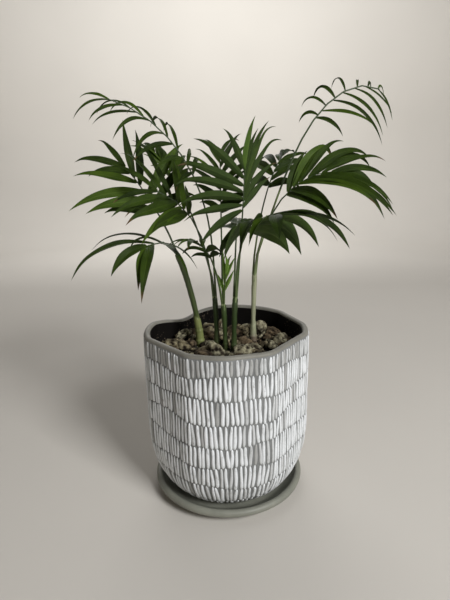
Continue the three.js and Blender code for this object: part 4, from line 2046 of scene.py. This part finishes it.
@dataclass
class Palm:
    """The clump: five canes and their fronds."""

    bed_top: float = 107.0
    canes: tuple[Cane, ...] = (
        Cane(
            name="left_stem", foot=(-20, 12), azimuth=190, lean=(4, 20), length=74, radius=(2.3, 1.6, 2),
            skin=Stalk("left_cane_skin", (0.185, 0.21, 0.075), (0.05, 0.072, 0.02), (126, 134)),
            sheaths=(Sheath(23, 1.8, 250, 0.45), Sheath(52, 2.5, 100), Sheath(70, 2, 300, 0.2)),
            nodes=(Node(4), Node(12, 0.3)),
        ),
        Cane(
            name="inner_left_stem", foot=(-7, 6), azimuth=170, lean=(0, 3), length=40, radius=(1.8, 1.5, 2),
            skin=Stalk("inner_left_cane_skin", (0.06, 0.07, 0.028), (0.028, 0.046, 0.013), (108, 122)),
            sheaths=(Sheath(12, 1.5, 280), Sheath(35, 2, 200, 0.2)),
            nodes=(Node(5, 0.3),),
        ),
        Cane(
            name="centre_stem", foot=(-0.5, 0), azimuth=200, lean=(1, 3), length=36, radius=(1.7, 1.4, 2),
            skin=Stalk("centre_cane_skin", (0.05, 0.066, 0.022), (0.04, 0.068, 0.018), (108, 120)),
            sheaths=(Sheath(10, 1.5, 240), Sheath(31, 2, 80, 0.2)),
            nodes=(Node(5, 0.3),),
        ),
        Cane(
            name="inner_right_stem", foot=(5.5, -5), azimuth=10, lean=(0, 4), length=42, radius=(1.8, 1.5, 2),
            skin=Stalk("inner_right_cane_skin", (0.05, 0.066, 0.022), (0.03, 0.052, 0.014), (108, 122)),
            sheaths=(Sheath(14, 1.5, 290), Sheath(37, 2, 150, 0.2)),
            nodes=(Node(6, 0.3),),
        ),
        Cane(
            name="right_stem", foot=(21, 16), azimuth=60, lean=(0, 5), length=54, radius=(2.2, 1.4, 2),
            skin=Stalk("right_cane_skin", (0.15, 0.115, 0.085), (0.3, 0.315, 0.2), (109, 119)),
            sheaths=(Sheath(16, 2, 270, 0.35), Sheath(48, 2.5, 200, 0.2)),
            nodes=(Node(5, 0.35),),
        ),
    )
    fronds: tuple[Frond, ...] = (
        Frond(
            name="frond_right_arching", stem="right_stem", seat=30, azimuth=0, turn=15,
            lean=(19, 112), bow=4, length=174, bare=0.68, pairs=7, roll=50, lift=5,
            leaf=(46, 0.3), half=(1.4, 1.1), sides=(1, 0.55), splay=((60, 50), (100, 60)),
            sag=1.7, seed=1, bright=0.2, middle=0.6, pale=0.36, petiole=(0.88, 0.46),
        ),
        Frond(
            name="frond_right_broad", stem="right_stem", seat=-90, azimuth=-10,
            lean=(12, 95), bow=2, length=102, bare=0.62, pairs=8, roll=50, lift=15,
            leaf=(62, 0.5), half=(4, 2.4), sides=(1.15, 0.9), splay=((52, 20), (40, 5)),
            sag=1, seed=2, bright=0.25, middle=0.55, pale=0.42,
        ),
        Frond(
            name="frond_back_right", stem="right_stem", seat=150, azimuth=60,
            lean=(15, 60), bow=1.5, length=105, bare=0.65, pairs=5,
            leaf=(38, 0.5), half=(4, 3), splay=((55, 15), (55, 15)),
            sag=1, seed=3, pale=0.25,
        ),
        Frond(
            name="frond_right_front", stem="inner_right_stem", seat=-70, azimuth=-75, turn=35,
            lean=(3, 85), bow=1.7, length=78, bare=0.65, pairs=6,
            leaf=(62, 0.6), half=(6.5, 4), sides=(0.7, 1.1), splay=((100, 50), (95, 25)),
            sag=1.5, seed=4, bright=0.1, middle=0.3,
        ),
        Frond(
            name="frond_centre_upright", stem="inner_right_stem", seat=30, azimuth=-60,
            lean=(10, 6), length=88, bare=0.7, pairs=7, lift=10,
            leaf=(54, 0.6), half=(3, 2.5), sides=(1.05, 0.95), splay=((105, 30), (40, 5)),
            sag=0.42, seed=5, bright=0.12, middle=0.2,
        ),
        Frond(
            name="frond_back_centre", stem="inner_right_stem", seat=150, azimuth=85,
            lean=(35, 110), bow=2, length=95, bare=0.6, pairs=5,
            leaf=(26, 0.5), half=(4, 3), splay=((50, 15), (50, 15)),
            sag=0.6, seed=6,
        ),
        Frond(
            name="frond_centre_tall", stem="centre_stem", seat=90, azimuth=90,
            lean=(0, 35), bow=1.5, length=108, bare=0.6, pairs=7, lift=20,
            leaf=(35, 0.6), half=(2.5, 2), sides=(1, 0.8), splay=((55, 30), (60, 30)),
            sag=0.6, seed=7,
        ),
        Frond(
            name="frond_front_small", stem="centre_stem", seat=220, azimuth=-120,
            lean=(15, 75), bow=2, length=64, bare=0.6, pairs=5,
            leaf=(36, 0.5), half=(3, 2), sides=(0.65, 0.85), splay=((50, 20), (50, 20)),
            sag=1, seed=9,
        ),
        Frond(
            name="young_leaf", stem="centre_stem", seat=-70, azimuth=-75,
            lean=(10, 20), length=24, bare=0.3, pairs=3, roll=-30, lift=20,
            leaf=(32, 0.5), half=(1.8, 1.5), sides=(0.9, 0.8), splay=((14, 6), (14, 6)),
            sag=0.1, seed=5, fold=0.9, young=True,
        ),
        Frond(
            name="frond_left_arching", stem="inner_left_stem", seat=330, azimuth=205, turn=-15,
            lean=(0, 75), bow=1.8, length=160, bare=0.55, pairs=8, roll=-40,
            leaf=(46, 0.4), half=(2, 1.3), sides=(0.8, 0.9), splay=((60, 10), (70, 25)),
            sag=1.5, seed=10, bright=0.2, middle=0.6,
        ),
        Frond(
            name="frond_left_inner", stem="inner_left_stem", seat=210, azimuth=200,
            lean=(5, 70), bow=2, length=90, bare=0.7, pairs=6, roll=-45,
            leaf=(56, 0.5), half=(4, 2.4), sides=(1, 0.95), splay=((60, 30), (70, 35)),
            sag=0.4, seed=11, bright=0.2, middle=0.5,
        ),
        Frond(
            name="frond_back_left", stem="inner_left_stem", seat=90, azimuth=135,
            lean=(20, 60), bow=2, length=125, bare=0.7, pairs=6, lift=20,
            leaf=(36, 0.5), half=(4, 3), splay=((45, 12), (45, 12)),
            sag=0.4, seed=12,
        ),
        Frond(
            name="frond_left_broad", stem="left_stem", seat=90, azimuth=170,
            lean=(20, 40), length=70, bare=0.45, pairs=6, roll=-55, lift=5,
            leaf=(62, 0.25), half=(4.6, 2.4), sides=(0.85, 0.85), splay=((75, 10), (60, 40)),
            sag=0.5, seed=13, bright=0.3, middle=0.6,
        ),
        Frond(
            name="frond_left_low", stem="left_stem", seat=250, azimuth=235,
            lean=(35, 110), length=32, bare=0.4, pairs=4, roll=-15, lift=10,
            leaf=(62, 0.5), half=(1.5, 4.2), sides=(1, 0.9), splay=((70, 20), (85, 20)),
            sag=1.3, seed=14, bright=0.3, middle=0.6,
        ),
    )

    def feet(self) -> list[tuple[tuple[float, float], float]]:
        """Where the canes stand in the bed, and how thick they are there."""
        return [(cane.foot, cane.radius[0]) for cane in self.canes]

    def build(self) -> None:
        """Grows all canes, then all fronds on them."""
        tips = {}
        for cane in self.canes:
            cane.build(self.bed_top)
            tips[cane.name] = cane.stations(self.bed_top)[-1]
        greens = Greens().mixed()
        stalks = [
            Stalk("pale_petiole", (0.2, 0.25, 0.11), (0.15, 0.2, 0.075), (150, 190)).mixed(),
            Stalk("dark_rib", (0.07, 0.105, 0.03), (0.035, 0.06, 0.018), (150, 190)).mixed(),
        ]
        for frond in self.fronds:
            frond.build(tips[frond.stem], greens, stalks)


# ------------------------------ studio


@dataclass(frozen=True)
class Lamp:
    """A soft square light, and where it hangs and aims."""

    name: str
    azimuth: float  # where it hangs, 0 to the right and -90 in front
    height: float
    away: float
    size: float
    power: float  # in watts
    aim: tuple[float, float, float] = (0, 0, 130)


@dataclass
class Studio:
    """The camera, the lights and the pale floor that turns up all round."""

    lens: float = 27.0
    eye: tuple[float, float, float] = (-0.4, -314.0, 233.0)
    pitch: float = 15.5
    roll: float = -1.1
    sensor: float = 36.0
    floor_radius: float = 1300.0
    wall_height: float = 1500.0
    turn_up: float = 500.0  # the radius of the floor's turned-up edge
    turn_up_rings: int = 12
    floor_sides: int = 96
    room_tint: Colour = (1.0, 0.97, 0.93)
    room_light: float = 0.04
    lamps: tuple[Lamp, ...] = (
        Lamp("key_light", -50, 860, 1150, 440, 18.8),
        Lamp("back_light", 100, 900, 1150, 900, 5),
        Lamp("wall_light", 90, 1000, 1000, 900, 10, (0, 1790, 700)),
    )

    def camera(self) -> None:
        """Sets up the camera at the object's own view."""
        deselect()
        bpy.ops.object.camera_add()
        camera = bpy.context.object
        tilt = Matrix.Rotation(math.radians(90 - self.pitch), 4, "X")
        rolled = Matrix.Rotation(math.radians(self.roll), 4, "Z")
        camera.matrix_world = Matrix.Translation(Vector(self.eye) * MM) @ tilt @ rolled
        camera.data.lens = self.lens
        camera.data.sensor_width = self.sensor
        camera.data.clip_start = 0.01
        bpy.context.scene.camera = camera

    def light(self, lamp: Lamp) -> None:
        """Hangs a soft square light.

        Args:
            lamp: The light.
        """
        deselect()
        place = heading(lamp.azimuth, 90) * lamp.away + Vector((0, 0, lamp.height))
        aim = (Vector(lamp.aim) - place).to_track_quat("-Z", "Y")
        bpy.ops.object.light_add(type="AREA", location=place * MM, rotation=aim.to_euler())
        made = bpy.context.object
        made.name = lamp.name
        made.data.size = lamp.size * MM
        made.data.energy = lamp.power

    def floor(self) -> None:
        """Lays the floor and turns its edge up into a wall."""
        profile = [(self.floor_radius, 0)]
        for index in range(1, self.turn_up_rings + 1):
            turn = math.radians(90 * index / self.turn_up_rings)
            out, up = self.turn_up * math.sin(turn), self.turn_up * (1 - math.cos(turn))
            profile.append((self.floor_radius + out, up))
        profile.append((self.floor_radius + self.turn_up, self.wall_height))
        bowl = throw("studio_floor", profile, self.floor_sides)
        ends = [face for face in bowl.data.polygons if len(face.vertices) == self.floor_sides]
        lid = max(ends, key=lambda face: face.center.z).index
        bpy.context.view_layer.objects.active = bowl
        bpy.ops.object.mode_set(mode="EDIT")
        bpy.ops.mesh.select_all(action="DESELECT")
        bpy.ops.object.mode_set(mode="OBJECT")
        bowl.data.polygons[lid].select = True
        bpy.ops.object.mode_set(mode="EDIT")
        bpy.ops.mesh.delete(type="FACE")
        bpy.ops.mesh.select_all(action="SELECT")
        bpy.ops.mesh.flip_normals()
        bpy.ops.object.mode_set(mode="OBJECT")
        bowl.data.materials.append(Plaster().mixed())
        polish(bowl, 60)

    def room(self) -> None:
        """Fills the room with a little pale light, and shows colours as they are."""
        world = bpy.data.worlds.new("pale_room")
        world.use_nodes = True
        sky = world.node_tree.nodes["Background"]
        sky.inputs["Color"].default_value = (*self.room_tint, 1)
        sky.inputs["Strength"].default_value = self.room_light
        bpy.context.scene.world = world
        bpy.context.scene.view_settings.view_transform = "Standard"

    def build(self) -> None:
        """Builds the studio."""
        self.camera()
        self.floor()
        for lamp in self.lamps:
            self.light(lamp)
        self.room()


def main() -> None:
    """Builds the studio and the plant."""
    logging.basicConfig(level=logging.INFO, format="%(name)s: %(message)s")
    palm = Palm()
    Studio().build()
    Saucer().build()
    Pot().build()
    Strokes().build()
    Bed(feet=palm.feet()).build()
    palm.build()
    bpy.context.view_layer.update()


if __name__ == "__main__":
    main()
